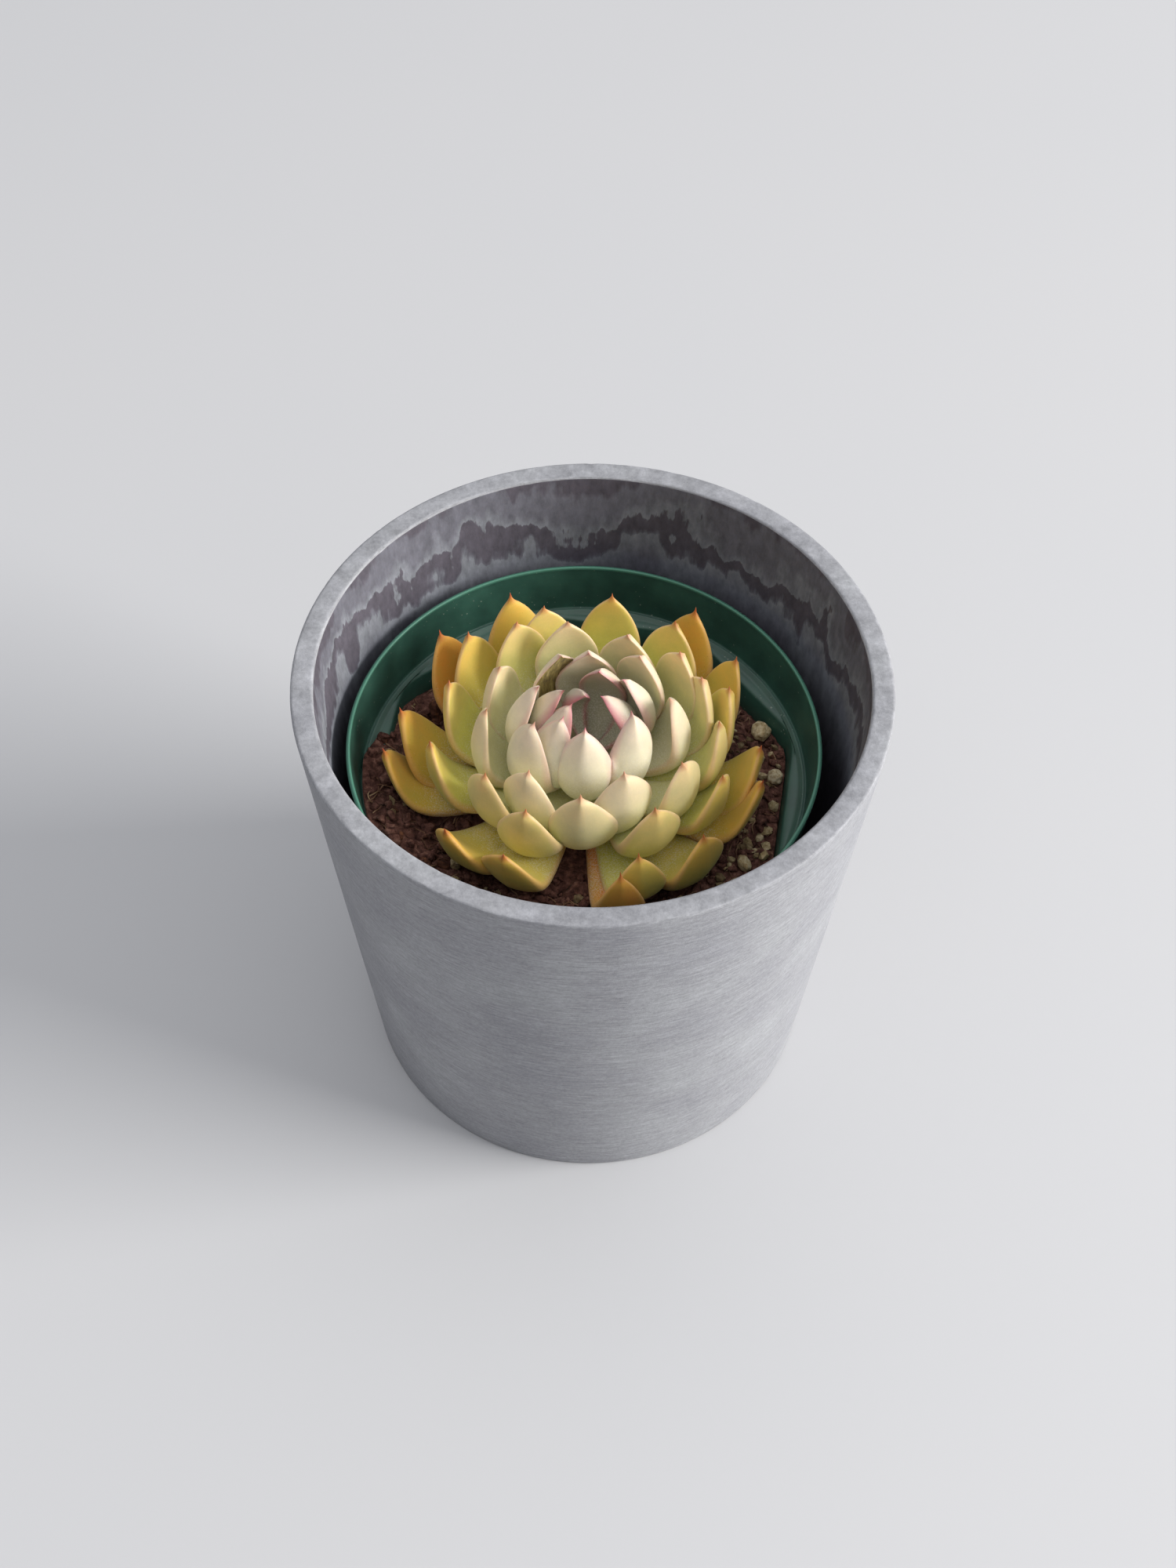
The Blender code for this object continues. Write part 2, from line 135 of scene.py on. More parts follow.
outerPot = {
    "wall": 5.0 * mm,
    "floor": 5.0 * mm,
    "radius": 65.0 * mm,
    "footRadius": 54.5 * mm,
    "height": 120.5 * mm,
    "edge": 0.8 * mm,
    "segments": 384,
    "nickDepth": 0.35 * mm,
    "streakLength": 13.0 * mm,
    "streakHeight": 0.8 * mm,
    "grit": 0.35 * mm,
    "outside": "#9A9BA0",
    "outsideDark": "#93949A",
    "outsidePale": "#A3A5A9",
    "insideDark": "#58545E",
    "insideMiddle": "#6C6C76",
    "insidePale": "#83868E",
}


def stoneComposite(look):
    material, tree, shader = newMaterial("mouldedStoneComposite", Roughness=0.62, IOR=1.5)
    place = addNode(tree, "ShaderNodeTexCoord").outputs["Object"]
    level = addNode(tree, "ShaderNodeMapping", {
        "Vector": place,
        "Scale": (1 / look["streakLength"], 1 / look["streakLength"], 1 / look["streakHeight"])})
    streaks = addNode(tree, "ShaderNodeTexNoise", {
        "Vector": level.outputs["Vector"], "Scale": 1.0, "Detail": 5.0, "Roughness": 0.65})
    clouds = addNode(tree, "ShaderNodeTexNoise", {
        "Vector": place, "Scale": 1 / (22 * mm), "Detail": 4.0, "Roughness": 0.55})
    grit = addNode(tree, "ShaderNodeTexNoise", {
        "Vector": place, "Scale": 1 / look["grit"], "Detail": 2.0, "Roughness": 0.6})
    body = addNode(tree, "ShaderNodeValToRGB", {"Fac": clouds.outputs["Fac"]}, stops=(
        (0.32, look["outsideDark"]), (0.52, look["outside"]), (0.72, look["outsidePale"])))
    streaked = addNode(tree, "ShaderNodeMapRange", {
        "Value": streaks.outputs["Fac"], "From Min": 0.25, "From Max": 0.75, "To Min": 0.85, "To Max": 1.13})
    rubs = addNode(tree, "ShaderNodeMapping", {
        "Vector": place,
        "Scale": (3 / look["streakLength"], 3 / look["streakLength"], 3 / look["streakHeight"])})
    scour = addNode(tree, "ShaderNodeTexNoise", {
        "Vector": rubs.outputs["Vector"], "Scale": 1.0, "Detail": 3.0, "Roughness": 0.7})
    scoured = addNode(tree, "ShaderNodeMapRange", {
        "Value": scour.outputs["Fac"], "From Min": 0.25, "From Max": 0.75, "To Min": 0.72, "To Max": 1.28})
    pores = addNode(tree, "ShaderNodeTexNoise", {
        "Vector": place, "Scale": 1 / (0.8 * mm), "Detail": 3.0, "Roughness": 0.65})
    porous = addNode(tree, "ShaderNodeMapRange", {
        "Value": pores.outputs["Fac"], "From Min": 0.25, "From Max": 0.75, "To Min": 0.84, "To Max": 1.16})
    rubbed = addNode(tree, "ShaderNodeMath", {0: streaked.outputs[0], 1: scoured.outputs[0]},
                     operation="MULTIPLY")
    worn = addNode(tree, "ShaderNodeMath", {0: rubbed.outputs[0], 1: porous.outputs[0]},
                   operation="MULTIPLY")
    mixed = addNode(tree, "ShaderNodeVectorMath", {
        0: body.outputs["Color"], "Scale": worn.outputs[0]}, operation="SCALE")
    dust = addNode(tree, "ShaderNodeValToRGB", {"Fac": grit.outputs["Fac"]}, stops=(
        (0.62, "#000000"), (0.74, "#FFFFFF")))
    dusty = addNode(tree, "ShaderNodeMath", {0: dust.outputs["Color"], 1: 0.22}, operation="MULTIPLY")
    colour = addNode(tree, "ShaderNodeMix", {
        "Factor": dusty.outputs[0], 6: mixed.outputs["Vector"], 7: hexToLinear("#C6C7C9")}, data_type="RGBA")
    tree.links.new(colour.outputs[2], shader.inputs["Base Color"])
    rough = addNode(tree, "ShaderNodeMapRange", {
        "Value": streaks.outputs["Fac"], "To Min": 0.5, "To Max": 0.78})
    tree.links.new(rough.outputs[0], shader.inputs["Roughness"])
    height = addNode(tree, "ShaderNodeMath", {0: streaks.outputs["Fac"], 1: grit.outputs["Fac"]},
                     operation="ADD")
    bump = addNode(tree, "ShaderNodeBump", {
        "Strength": 0.35, "Distance": 0.12 * mm, "Height": height.outputs[0]})
    tree.links.new(bump.outputs["Normal"], shader.inputs["Normal"])
    return material


def stainedCompositeWithPaintedShade(look):
    # inside of the same pot: water has run down and dried, in pale fields with ragged lower edges, and a thin
    # line of painted shade just below the rim
    material, tree, shader = newMaterial("waterStainedCompositeWithPaintedShade", Roughness=0.6, IOR=1.5)
    place = addNode(tree, "ShaderNodeTexCoord").outputs["Object"]
    axes = addNode(tree, "ShaderNodeSeparateXYZ", {"Vector": place})
    runs = addNode(tree, "ShaderNodeMapping", {
        "Vector": place, "Scale": (1 / (4 * mm), 1 / (4 * mm), 1 / (26 * mm))})
    drips = addNode(tree, "ShaderNodeTexNoise", {
        "Vector": runs.outputs["Vector"], "Scale": 1.0, "Detail": 5.0, "Roughness": 0.6})
    fields = addNode(tree, "ShaderNodeTexNoise", {
        "Vector": place, "Scale": 1 / (17 * mm), "Detail": 3.0, "Roughness": 0.5})
    dripReach = addNode(tree, "ShaderNodeMath", {0: drips.outputs["Fac"], 1: 17 * mm}, operation="MULTIPLY")
    fieldReach = addNode(tree, "ShaderNodeMath", {0: fields.outputs["Fac"], 1: 36 * mm}, operation="MULTIPLY")
    reach = addNode(tree, "ShaderNodeMath", {0: dripReach.outputs[0], 1: fieldReach.outputs[0]},
                    operation="ADD")
    ragged = addNode(tree, "ShaderNodeMath", {0: axes.outputs["Z"], 1: reach.outputs[0]}, operation="ADD")
    middle = look["height"] + 8 * mm
    bands = addNode(tree, "ShaderNodeMapRange", {
        "Value": ragged.outputs[0], "From Min": middle - 26 * mm, "From Max": middle + 22 * mm})
    # the last stop darkens the wall in a thin line just below the rim: painted shade
    tone = addNode(tree, "ShaderNodeValToRGB", {"Fac": bands.outputs[0]}, stops=(
        (0.10, look["insideDark"]), (0.30, look["insideMiddle"]), (0.50, look["insidePale"]),
        (0.515, look["insideMiddle"]), (0.55, look["insideDark"]), (0.655, look["insideDark"]),
        (0.67, look["insidePale"]), (0.76, look["insideMiddle"]), (0.87, look["insideMiddle"]),
        (0.92, look["insideDark"])))
    spots = addNode(tree, "ShaderNodeMapping", {
        "Vector": place, "Scale": (1 / (2.2 * mm), 1 / (2.2 * mm), 1 / (4.5 * mm))})
    wet = addNode(tree, "ShaderNodeTexNoise", {
        "Vector": spots.outputs["Vector"], "Scale": 1.0, "Detail": 5.0, "Roughness": 0.7})
    speckled = addNode(tree, "ShaderNodeMapRange", {
        "Value": wet.outputs["Fac"], "From Min": 0.3, "From Max": 0.7, "To Min": 0.72, "To Max": 1.28})
    colour = addNode(tree, "ShaderNodeVectorMath", {
        0: tone.outputs["Color"], "Scale": speckled.outputs[0]}, operation="SCALE")
    tree.links.new(colour.outputs["Vector"], shader.inputs["Base Color"])
    bump = addNode(tree, "ShaderNodeBump", {
        "Strength": 0.25, "Distance": 0.1 * mm, "Height": wet.outputs["Fac"]})
    tree.links.new(bump.outputs["Normal"], shader.inputs["Normal"])
    return material


def roundedRun(corners, radii, steps=5):
    # a profile whose inner corners are rounded off; the first and last points stay
    run = [corners[0]]
    for before, corner, after, radius in zip(corners, corners[1:], corners[2:], radii):
        inwards = (before - corner).normalized() * radius
        outwards = (after - corner).normalized() * radius
        for k in range(steps + 1):
            t = k / steps
            run.append(corner + inwards * (1 - t) ** 2 + outwards * t ** 2)
    run.append(corners[-1])
    return run


def refined(run, longest):
    # extra points on long stretches of a profile
    points = [run[0]]
    for a, b in zip(run, run[1:]):
        pieces = max(1, math.ceil((b - a).length / longest))
        points += [a + (b - a) * k / pieces for k in range(1, pieces + 1)]
    return points


def makeOuterPot(look):
    slope = (look["radius"] - look["footRadius"]) / look["height"]
    innerFoot = look["footRadius"] + slope * look["floor"] - look["wall"]
    corners = [Vector((2 * mm, look["floor"])), Vector((innerFoot, look["floor"])),
               Vector((look["radius"] - look["wall"], look["height"])),
               Vector((look["radius"], look["height"])), Vector((look["footRadius"], 0.0)),
               Vector((2 * mm, 0.0))]
    radii = (3 * mm, look["edge"], look["edge"], look["edge"])
    run = refined(roundedRun(corners, radii), 4 * mm)
    count = look["segments"]
    points, sides = [], []
    for point in run:
        for c in range(count):
            angle = 2 * math.pi * c / count
            out = Vector((math.cos(angle), math.sin(angle), 0.0))
            place = out * point.x + Vector((0, 0, point.y))
            nearRim = max(0.0, 1 - abs(point.y - look["height"]) / (1.2 * mm))
            onEdge = min(abs(point.x - look["radius"]), abs(point.x - look["radius"] + look["wall"]))
            edge = nearRim * max(0.0, 1 - onEdge / (1.4 * mm))
            wear = max(0.0, noise.noise(place / (2.6 * mm)) - 0.28)
            wave = 0.12 * mm * noise.noise(Vector((out.x * 2, out.y * 2, point.y * 20)))
            place -= out * wave * min(1.0, point.y / (10 * mm))
            place.z -= edge * wear * look["nickDepth"] * 2.2
            points.append(place)
    rows = len(run)
    faces = gridFaces(rows, count)
    for r in range(rows - 1):
        inside = r < rows / 2 and run[r + 1].y < look["height"] - look["edge"] * 0.5
        sides += [1 if inside and run[r].x < look["radius"] - look["wall"] * 0.9 else 0] * count
    points += [Vector((0, 0, look["floor"])), Vector((0, 0, 0))]
    faces += capFaces(0, count, rows * count, True)
    faces += capFaces((rows - 1) * count, count, rows * count + 1, False)
    sides += [1] * count + [0] * count
    faces = [tuple(reversed(f)) for f in faces]
    pot = meshPiece("outerPotShell", points, faces, [stoneComposite(look), stainedCompositeWithPaintedShade(look)], sides)
    settle(pot, "outer_pot", "outer_pot")
    print("outer pot", len(points), "points")
    return pot


makeOuterPot(outerPot)


# nursery pot: thin blow-moulded polypropylene, so the eye gets dark green with a soft gloss,
# light through the thin band, scuffs and dust, and a painted highlight along the cut edge at the top of the rim

nurseryPot = {
    "centre": Vector((-1.7, -0.9, 0.0)) * mm,
    "rimRadius": 52.9 * mm,
    "bandRadius": 51.4 * mm,
    "rimHeight": 99.5 * mm,
    "bandDepth": 13.0 * mm,
    "apothem": 47.0 * mm,
    "baseApothem": 37.0 * mm,
    "wall": 0.9 * mm,
    "sides": 8,
    "turn": math.radians(14.0),
    "segments": 320,
    "green": "#365E51",
    "greenDeep": "#294B41",
    "scuff": "#6E857C",
    "edge": "#4F8571",
}


def greenPolypropylene(look):
    material, tree, shader = newMaterial("greenPolypropylene", Roughness=0.38, IOR=1.49)
    shader.inputs["Subsurface Weight"].default_value = 0.12
    shader.inputs["Subsurface Radius"].default_value = (0.3, 1.0, 0.7)
    shader.inputs["Subsurface Scale"].default_value = 1.5 * mm
    place = addNode(tree, "ShaderNodeTexCoord").outputs["Object"]
    clouds = addNode(tree, "ShaderNodeTexNoise", {
        "Vector": place, "Scale": 1 / (11 * mm), "Detail": 4.0, "Roughness": 0.6})
    body = addNode(tree, "ShaderNodeValToRGB", {"Fac": clouds.outputs["Fac"]}, stops=(
        (0.35, look["greenDeep"]), (0.65, look["green"])))
    specks = addNode(tree, "ShaderNodeTexVoronoi", {"Vector": place, "Scale": 1 / (1.5 * mm)})
    lone = addNode(tree, "ShaderNodeTexNoise", {"Vector": place, "Scale": 1 / (7 * mm), "Detail": 2.0})
    dustSize = addNode(tree, "ShaderNodeMapRange", {
        "Value": lone.outputs["Fac"], "From Min": 0.4, "From Max": 0.75, "To Min": 0.02, "To Max": 0.17})
    dust = addNode(tree, "ShaderNodeMath", {0: specks.outputs["Distance"], 1: dustSize.outputs[0]},
                   operation="LESS_THAN")
    dusty = addNode(tree, "ShaderNodeMath", {0: dust.outputs[0], 1: 0.55}, operation="MULTIPLY")
    # a paler green along the top of the rim: painted highlight on the cut edge
    edge = addNode(tree, "ShaderNodeAttribute", attribute_name="rimHighlightShare")
    ledge = addNode(tree, "ShaderNodeAttribute", attribute_name="ledgeShare")
    film = addNode(tree, "ShaderNodeMath", {0: ledge.outputs["Fac"], 1: 0.30}, operation="MULTIPLY")
    filmed = addNode(tree, "ShaderNodeMix", {
        "Factor": film.outputs[0], 6: body.outputs["Color"], 7: hexToLinear(look["scuff"])},
        data_type="RGBA")
    dusted = addNode(tree, "ShaderNodeMix", {
        "Factor": dusty.outputs[0], 6: filmed.outputs[2], 7: hexToLinear("#9FA89C")}, data_type="RGBA")
    colour = addNode(tree, "ShaderNodeMix", {
        "Factor": edge.outputs["Fac"], 6: dusted.outputs[2], 7: hexToLinear(look["edge"])},
        data_type="RGBA")
    tree.links.new(colour.outputs[2], shader.inputs["Base Color"])
    rough = addNode(tree, "ShaderNodeMapRange", {
        "Value": clouds.outputs["Fac"], "To Min": 0.3, "To Max": 0.55})
    tree.links.new(rough.outputs[0], shader.inputs["Roughness"])
    fine = addNode(tree, "ShaderNodeTexNoise", {"Vector": place, "Scale": 1 / (0.6 * mm), "Detail": 2.0})
    bump = addNode(tree, "ShaderNodeBump", {
        "Strength": 0.1, "Distance": 0.05 * mm, "Height": fine.outputs["Fac"]})
    tree.links.new(bump.outputs["Normal"], shader.inputs["Normal"])
    return material


def eightSided(angle, apothem, look, sharpness=34):
    # an eight-sided outline with rounded corners, as a high-power sum over the flat sides
    total = 0.0
    for k in range(look["sides"]):
        facing = look["turn"] + math.pi / look["sides"] + 2 * math.pi * k / look["sides"]
        total += max(0.0, math.cos(angle - facing)) ** sharpness
    return apothem / total ** (1 / sharpness)


def nurseryRing(look, height, roundShare, radius, apothem, inset=0.0):
    ring = []
    for c in range(look["segments"]):
        angle = 2 * math.pi * c / look["segments"]
        reach = radius * roundShare + eightSided(angle, apothem, look) * (1 - roundShare) - inset
        ring.append(look["centre"] + Vector((reach * math.cos(angle), reach * math.sin(angle), height)))
    return ring


def makeNurseryPot(look):
    floor = outerPot["floor"] + 0.3 * mm
    top = look["rimHeight"]
    ledge = top - look["bandDepth"]
    band, rim, wall = look["bandRadius"], look["rimRadius"], look["wall"]
    # height, how round the ring is, its radius, its apothem, thickness share
    outside = [
        (top - 0.25 * mm, 1.0, rim, 0.0), (top - 0.9 * mm, 1.0, rim + 0.05 * mm, 0.0),
        (top - 1.6 * mm, 1.0, rim - 0.10 * mm, 0.0), (top - 4.0 * mm, 1.0, rim - 0.45 * mm, 0.0),
        (top - 9.0 * mm, 1.0, band + 0.45 * mm, 0.0), (ledge + 1.2 * mm, 1.0, band + 0.1 * mm, 0.0),
        (ledge + 0.4 * mm, 1.0, band - 0.15 * mm, 0.0), (ledge, 1.0, band - 0.5 * mm, 0.0),
        (ledge - 0.02 * mm, 1.0, band - 0.95 * mm, 0.0), (ledge - 0.30 * mm, 1.0, band - 1.05 * mm, 0.0),
        (ledge - 0.32 * mm, 1.0, band - 1.50 * mm, 0.0), (ledge - 0.58 * mm, 1.0, band - 1.60 * mm, 0.0),
        (ledge - 0.60 * mm, 0.5, band - 1.9 * mm, look["apothem"] + 1.2 * mm),
        (ledge - 0.72 * mm, 0.0, 0.0, look["apothem"] + 0.3 * mm),
        (ledge - 1.2 * mm, 0.0, 0.0, look["apothem"] - 0.15 * mm),
        (ledge - 6 * mm, 0.0, 0.0, look["apothem"] - 0.8 * mm),
    ]
    for k in range(1, 7):
        share = k / 6
        height = ledge - 6 * mm + (floor - ledge + 6 * mm) * share
        side = look["apothem"] - 0.8 * mm + (look["baseApothem"] - look["apothem"] + 0.8 * mm) * share
        outside.append((height, 0.0, 0.0, side))
    rings, rimHighlightShare, ledgeShare = [], [], []
    for height, roundness, radius, apothem in outside:
        rings.append(nurseryRing(look, height, roundness, radius, apothem))
        rimHighlightShare.append(0.0)
        ledgeShare.append(0.0)
    for height, roundness, radius, apothem in reversed(outside):
        lift = wall if roundness < 1.0 or height < ledge + 0.2 * mm else 0.0
        onLedge = ledge - 1.2 * mm < height < ledge + 0.3 * mm
        rings.append(nurseryRing(look, min(height + lift, top - 0.1 * mm), roundness, radius, apothem, wall))
        rimHighlightShare.append(0.0)
        ledgeShare.append(1.0 if onLedge else 0.0)
    rings.append(nurseryRing(look, top, 1.0, rim - 0.3 * mm, 0.0, wall * 0.45))
    # the rings along the top of the rim carry the painted highlight
    rimHighlightShare[0] = 0.8
    rimHighlightShare[-1] = 0.8
    rimHighlightShare.append(1.0)
    ledgeShare.append(0.0)
    rings.append(rings[0])
    rimHighlightShare.append(0.8)
    ledgeShare.append(0.0)
    count = look["segments"]
    half = len(outside)
    points = [p for ring in rings[:-1] for p in ring]
    faces = []
    for r in range(len(rings) - 1):
        if r == half - 1:
            continue                       # floor: the two caps close the shell
        n = (r + 1) % (len(rings) - 1)
        for c in range(count):
            d = (c + 1) % count
            faces.append((r * count + c, n * count + c, n * count + d, r * count + d))
    under = look["centre"] + Vector((0, 0, floor))
    over = look["centre"] + Vector((0, 0, floor + wall))
    points += [under, over]
    faces += capFaces((half - 1) * count, count, len(points) - 2, True)
    faces += capFaces(half * count, count, len(points) - 1, False)
    pot = meshPiece("nurseryPotShell", points, faces, [greenPolypropylene(look)])
    for name, shares in (("rimHighlightShare", rimHighlightShare), ("ledgeShare", ledgeShare)):
        values = [s for s in shares[:-1] for _ in range(count)] + [0.0, 0.0]
        pot.data.attributes.new(name, "FLOAT", "POINT").data.foreach_set("value", values)
    settle(pot, "nursery_pot", "nursery_pot")
    print("nursery pot", len(points), "points")
    return pot


makeNurseryPot(nurseryPot)


# potting mix: sieved peat with coir fibres, bark and pumice grit, so the eye gets a very dark
# red-brown crumb with paler threads and cream-coloured stones

pottingSoil = {
    "edgeHeight": 80.8 * mm,
    "mound": 1.2 * mm,
    "roughness": 1.5 * mm,
    "pileTop": 88.6 * mm,
    "pileMiddle": math.radians(236.0),
    "pileSpread": math.radians(98.0),
    "pileFullness": 3.0,
    "rings": 96,
    "segments": 300,
    "axis": Vector((-1.0, -1.5, 0.0)) * mm,
    "seed": 11,
    "dark": "#38241F",
    "brown": "#6E4B42",
    "red": "#9E7767",
}


def peatMaterial(look, name="sievedPeat"):
    material, tree, shader = newMaterial(name, Roughness=0.95, IOR=1.4)
    shader.inputs["Specular IOR Level"].default_value = 0.2
    place = addNode(tree, "ShaderNodeTexCoord").outputs["Object"]
    crumbs = addNode(tree, "ShaderNodeTexNoise", {
        "Vector": place, "Scale": 1 / (1.6 * mm), "Detail": 6.0, "Roughness": 0.7})
    colour = addNode(tree, "ShaderNodeValToRGB", {"Fac": crumbs.outputs["Fac"]}, stops=(
        (0.34, look["dark"]), (0.52, look["brown"]), (0.70, look["red"])))
    tree.links.new(colour.outputs["Color"], shader.inputs["Base Color"])
    bump = addNode(tree, "ShaderNodeBump", {
        "Strength": 0.9, "Distance": 0.5 * mm, "Height": crumbs.outputs["Fac"]})
    tree.links.new(bump.outputs["Normal"], shader.inputs["Normal"])
    return material


def pumiceMaterial(name, pale, dark):
    # volcanic pumice: foamed glass, dull and full of pits, cream with rusty hollows
    material, tree, shader = newMaterial(name, Roughness=0.9, IOR=1.5)
    place = addNode(tree, "ShaderNodeTexCoord").outputs["Object"]
    pits = addNode(tree, "ShaderNodeTexNoise", {
        "Vector": place, "Scale": 1 / (0.9 * mm), "Detail": 5.0, "Roughness": 0.7})
    colour = addNode(tree, "ShaderNodeValToRGB", {"Fac": pits.outputs["Fac"]}, stops=(
        (0.33, dark), (0.55, pale), (0.80, "#F0E6D0")))
    # grains come from different batches: some greyer, some darker
    batch = addNode(tree, "ShaderNodeAttribute", attribute_name="tone")
    shade = addNode(tree, "ShaderNodeValToRGB", {"Fac": batch.outputs["Fac"]}, stops=(
        (0.0, "#FFFFFF"), (0.4, "#E6DCCB"), (0.7, "#B9AFA4"), (1.0, "#8F7C6A")))
    toned = addNode(tree, "ShaderNodeMix", {
        "Factor": 1.0, 6: colour.outputs["Color"], 7: shade.outputs["Color"]},
        data_type="RGBA", blend_type="MULTIPLY")
    tree.links.new(toned.outputs[2], shader.inputs["Base Color"])
    bump = addNode(tree, "ShaderNodeBump", {
        "Strength": 0.8, "Distance": 0.3 * mm, "Height": pits.outputs["Fac"]})
    tree.links.new(bump.outputs["Normal"], shader.inputs["Normal"])
    return material


def barkMaterial(name="composedBark"):
    # pine bark: corky layers, red-brown with paler broken edges
    material, tree, shader = newMaterial(name, Roughness=0.85, IOR=1.45)
    place = addNode(tree, "ShaderNodeTexCoord").outputs["Object"]
    layers = addNode(tree, "ShaderNodeMapping", {
        "Vector": place, "Scale": (1 / (3 * mm), 1 / (1.1 * mm), 1 / (0.7 * mm))})
    grain = addNode(tree, "ShaderNodeTexNoise", {
        "Vector": layers.outputs["Vector"], "Scale": 1.0, "Detail": 5.0, "Roughness": 0.65})
    colour = addNode(tree, "ShaderNodeValToRGB", {"Fac": grain.outputs["Fac"]}, stops=(
        (0.30, "#2A1712"), (0.52, "#5C3524"), (0.75, "#8A5B3D")))
    tree.links.new(colour.outputs["Color"], shader.inputs["Base Color"])
    bump = addNode(tree, "ShaderNodeBump", {
        "Strength": 0.8, "Distance": 0.4 * mm, "Height": grain.outputs["Fac"]})
    tree.links.new(bump.outputs["Normal"], shader.inputs["Normal"])
    return material


def soilPile(angle, look):
    away = abs((angle - look["pileMiddle"] + math.pi) % (2 * math.pi) - math.pi)
    near = max(0.0, 1 - away / look["pileSpread"])
    return near * near * (3 - 2 * near)


def soilEdge(angle, look):
    # how far the mix reaches from the nursery pot's axis: to the wall, or over the ledge
    wallReach = eightSided(angle, nurseryPot["apothem"] - 1.0 * mm, nurseryPot) - nurseryPot["wall"]
    brim = nurseryPot["bandRadius"] - nurseryPot["wall"] - 0.4 * mm
    pile = min(1.0, look["pileFullness"] * soilPile(angle, look))
    return wallReach + (brim - wallReach) * pile


def soilTop(x, y, look):
    flat = Vector((x, y, 0.0)) - nurseryPot["centre"]
    angle = math.atan2(flat.y, flat.x)
    share = min(1.0, flat.length / soilEdge(angle, look))
    mound = look["mound"] * max(0.0, 1 - (flat.length / (40 * mm)) ** 2)
    pile = min(1.0, look["pileFullness"] * soilPile(angle, look))
    rise = (look["pileTop"] - look["edgeHeight"]) * pile * max(0.0, (share - 0.70) / 0.30) ** 0.8
    spot = Vector((x, y, 0.02))
    rough = noise.fractal(spot / (5.5 * mm), 0.9, 2.1, 5) * look["roughness"] * 0.8
    rough += abs(noise.noise(spot / (1.3 * mm))) * look["roughness"] * 0.45
    return look["edgeHeight"] + mound + rise + rough * min(1.0, 0.35 + share)


def makeSoil(look):
    points = []
    rows, count = look["rings"], look["segments"]
    bottom = outerPot["floor"] + 0.3 * mm + nurseryPot["wall"] + 0.3 * mm
    ledgeTop = nurseryPot["rimHeight"] - nurseryPot["bandDepth"] + nurseryPot["wall"]
    for r in range(rows):
        share = (r + 1) / rows
        for c in range(count):
            angle = 2 * math.pi * c / count
            out = Vector((math.cos(angle), math.sin(angle), 0.0))
            place = nurseryPot["centre"] + out * soilEdge(angle, look) * share
            place.z = soilTop(place.x, place.y, look)
            points.append(place)
    for depth in range(3):                  # down the wall: under the ledge, then to the floor
        for c in range(count):
            angle = 2 * math.pi * c / count
            out = Vector((math.cos(angle), math.sin(angle), 0.0))
            edge = soilEdge(angle, look)
            wallReach = eightSided(angle, nurseryPot["apothem"] - 1.0 * mm, nurseryPot) - nurseryPot["wall"]
            top = points[(rows - 1) * count + c].z
            if depth == 0:
                reach, height = edge, max(min(top - 0.3 * mm, ledgeTop + 0.2 * mm), look["edgeHeight"] - 2 * mm)
            elif depth == 1:
                reach, height = wallReach, min(top - 0.6 * mm, ledgeTop + 0.1 * mm)
            else:
                reach, height = wallReach - 10.2 * mm, bottom
            place = nurseryPot["centre"] + out * reach
            points.append(Vector((place.x, place.y, height)))
    faces = gridFaces(rows + 3, count)
    points += [Vector((*nurseryPot["centre"].xy, soilTop(*nurseryPot["centre"].xy, look))),
               nurseryPot["centre"] + Vector((0, 0, bottom))]
    faces += capFaces(0, count, len(points) - 2, True)
    faces += capFaces((rows + 2) * count, count, len(points) - 1, False)
    faces = [tuple(reversed(f)) for f in faces]
    soil = meshPiece("pottingMix", points, faces, [peatMaterial(look)])
    settle(soil, "soil", "potting_soil")
    print("potting mix", len(points), "points")
    return soil


def roughLump(size, draw, detail=2, spread=0.35):
    # one lump of grit or crumb as points and faces, knobbly and a little squashed
    bm = bmesh.new()
    bmesh.ops.create_icosphere(bm, subdivisions=detail, radius=0.5)
    shift = Vector((draw.uniform(0, 50), draw.uniform(0, 50), draw.uniform(0, 50)))
    for vert in bm.verts:
        bulge = noise.noise(vert.co * 2.2 + shift) + 0.5 * noise.noise(vert.co * 5.1 + shift)
        vert.co *= 1 + spread * bulge
    turn = Matrix.Rotation(draw.uniform(0, 6.28), 3, Vector((draw.random(), draw.random(), 1)).normalized())
    bm.transform((turn @ Matrix.Diagonal(size)).to_4x4())
    points = [vert.co.copy() for vert in bm.verts]
    faces = [tuple(vert.index for vert in face.verts) for face in bm.faces]
    bm.free()
    return points, faces


def scatter(name, material, slot, look, draw, spots, sizes, detail, squash, spread=0.35, sink=0.25,
            flat=False):
    # many lumps on the soil joined as one piece, each with a tone of its own
    points, faces, tones = [], [], []
    for x, y in spots:
        across = draw.uniform(*sizes)
        size = (across, across * draw.uniform(0.6, 0.95), across * draw.uniform(*squash))
        lump, lumpFaces = roughLump(size, draw, detail, spread)
        base = Vector((x, y, soilTop(x, y, look) + size[2] * (0.5 - sink)))
        start = len(points)
        points += [p + base for p in lump]
        faces += [tuple(start + i for i in f) for f in lumpFaces]
        tones += [draw.random()] * len(lump)
    piece = meshPiece(name, points, faces, [material], flat=flat)
    piece.data.attributes.new("tone", "FLOAT", "POINT").data.foreach_set("value", tones)
    settle(piece, slot)
    print(name, len(points), "points")
    return piece


def soilSpots(draw, count, look, inner=14 * mm, keep=lambda angle, share: True):
    # places over the visible soil, kept off the leaf crown's middle
    spots = []
    while len(spots) < count:
        angle = draw.uniform(0, 2 * math.pi)
        edge = soilEdge(angle, look) - 1.2 * mm
        reach = math.sqrt(draw.uniform((inner / edge) ** 2, 1.0)) * edge
        if keep(angle, reach / edge):
            spot = nurseryPot["centre"] + Vector((math.cos(angle), math.sin(angle), 0)) * reach
            spots.append((spot.x, spot.y))
    return spots


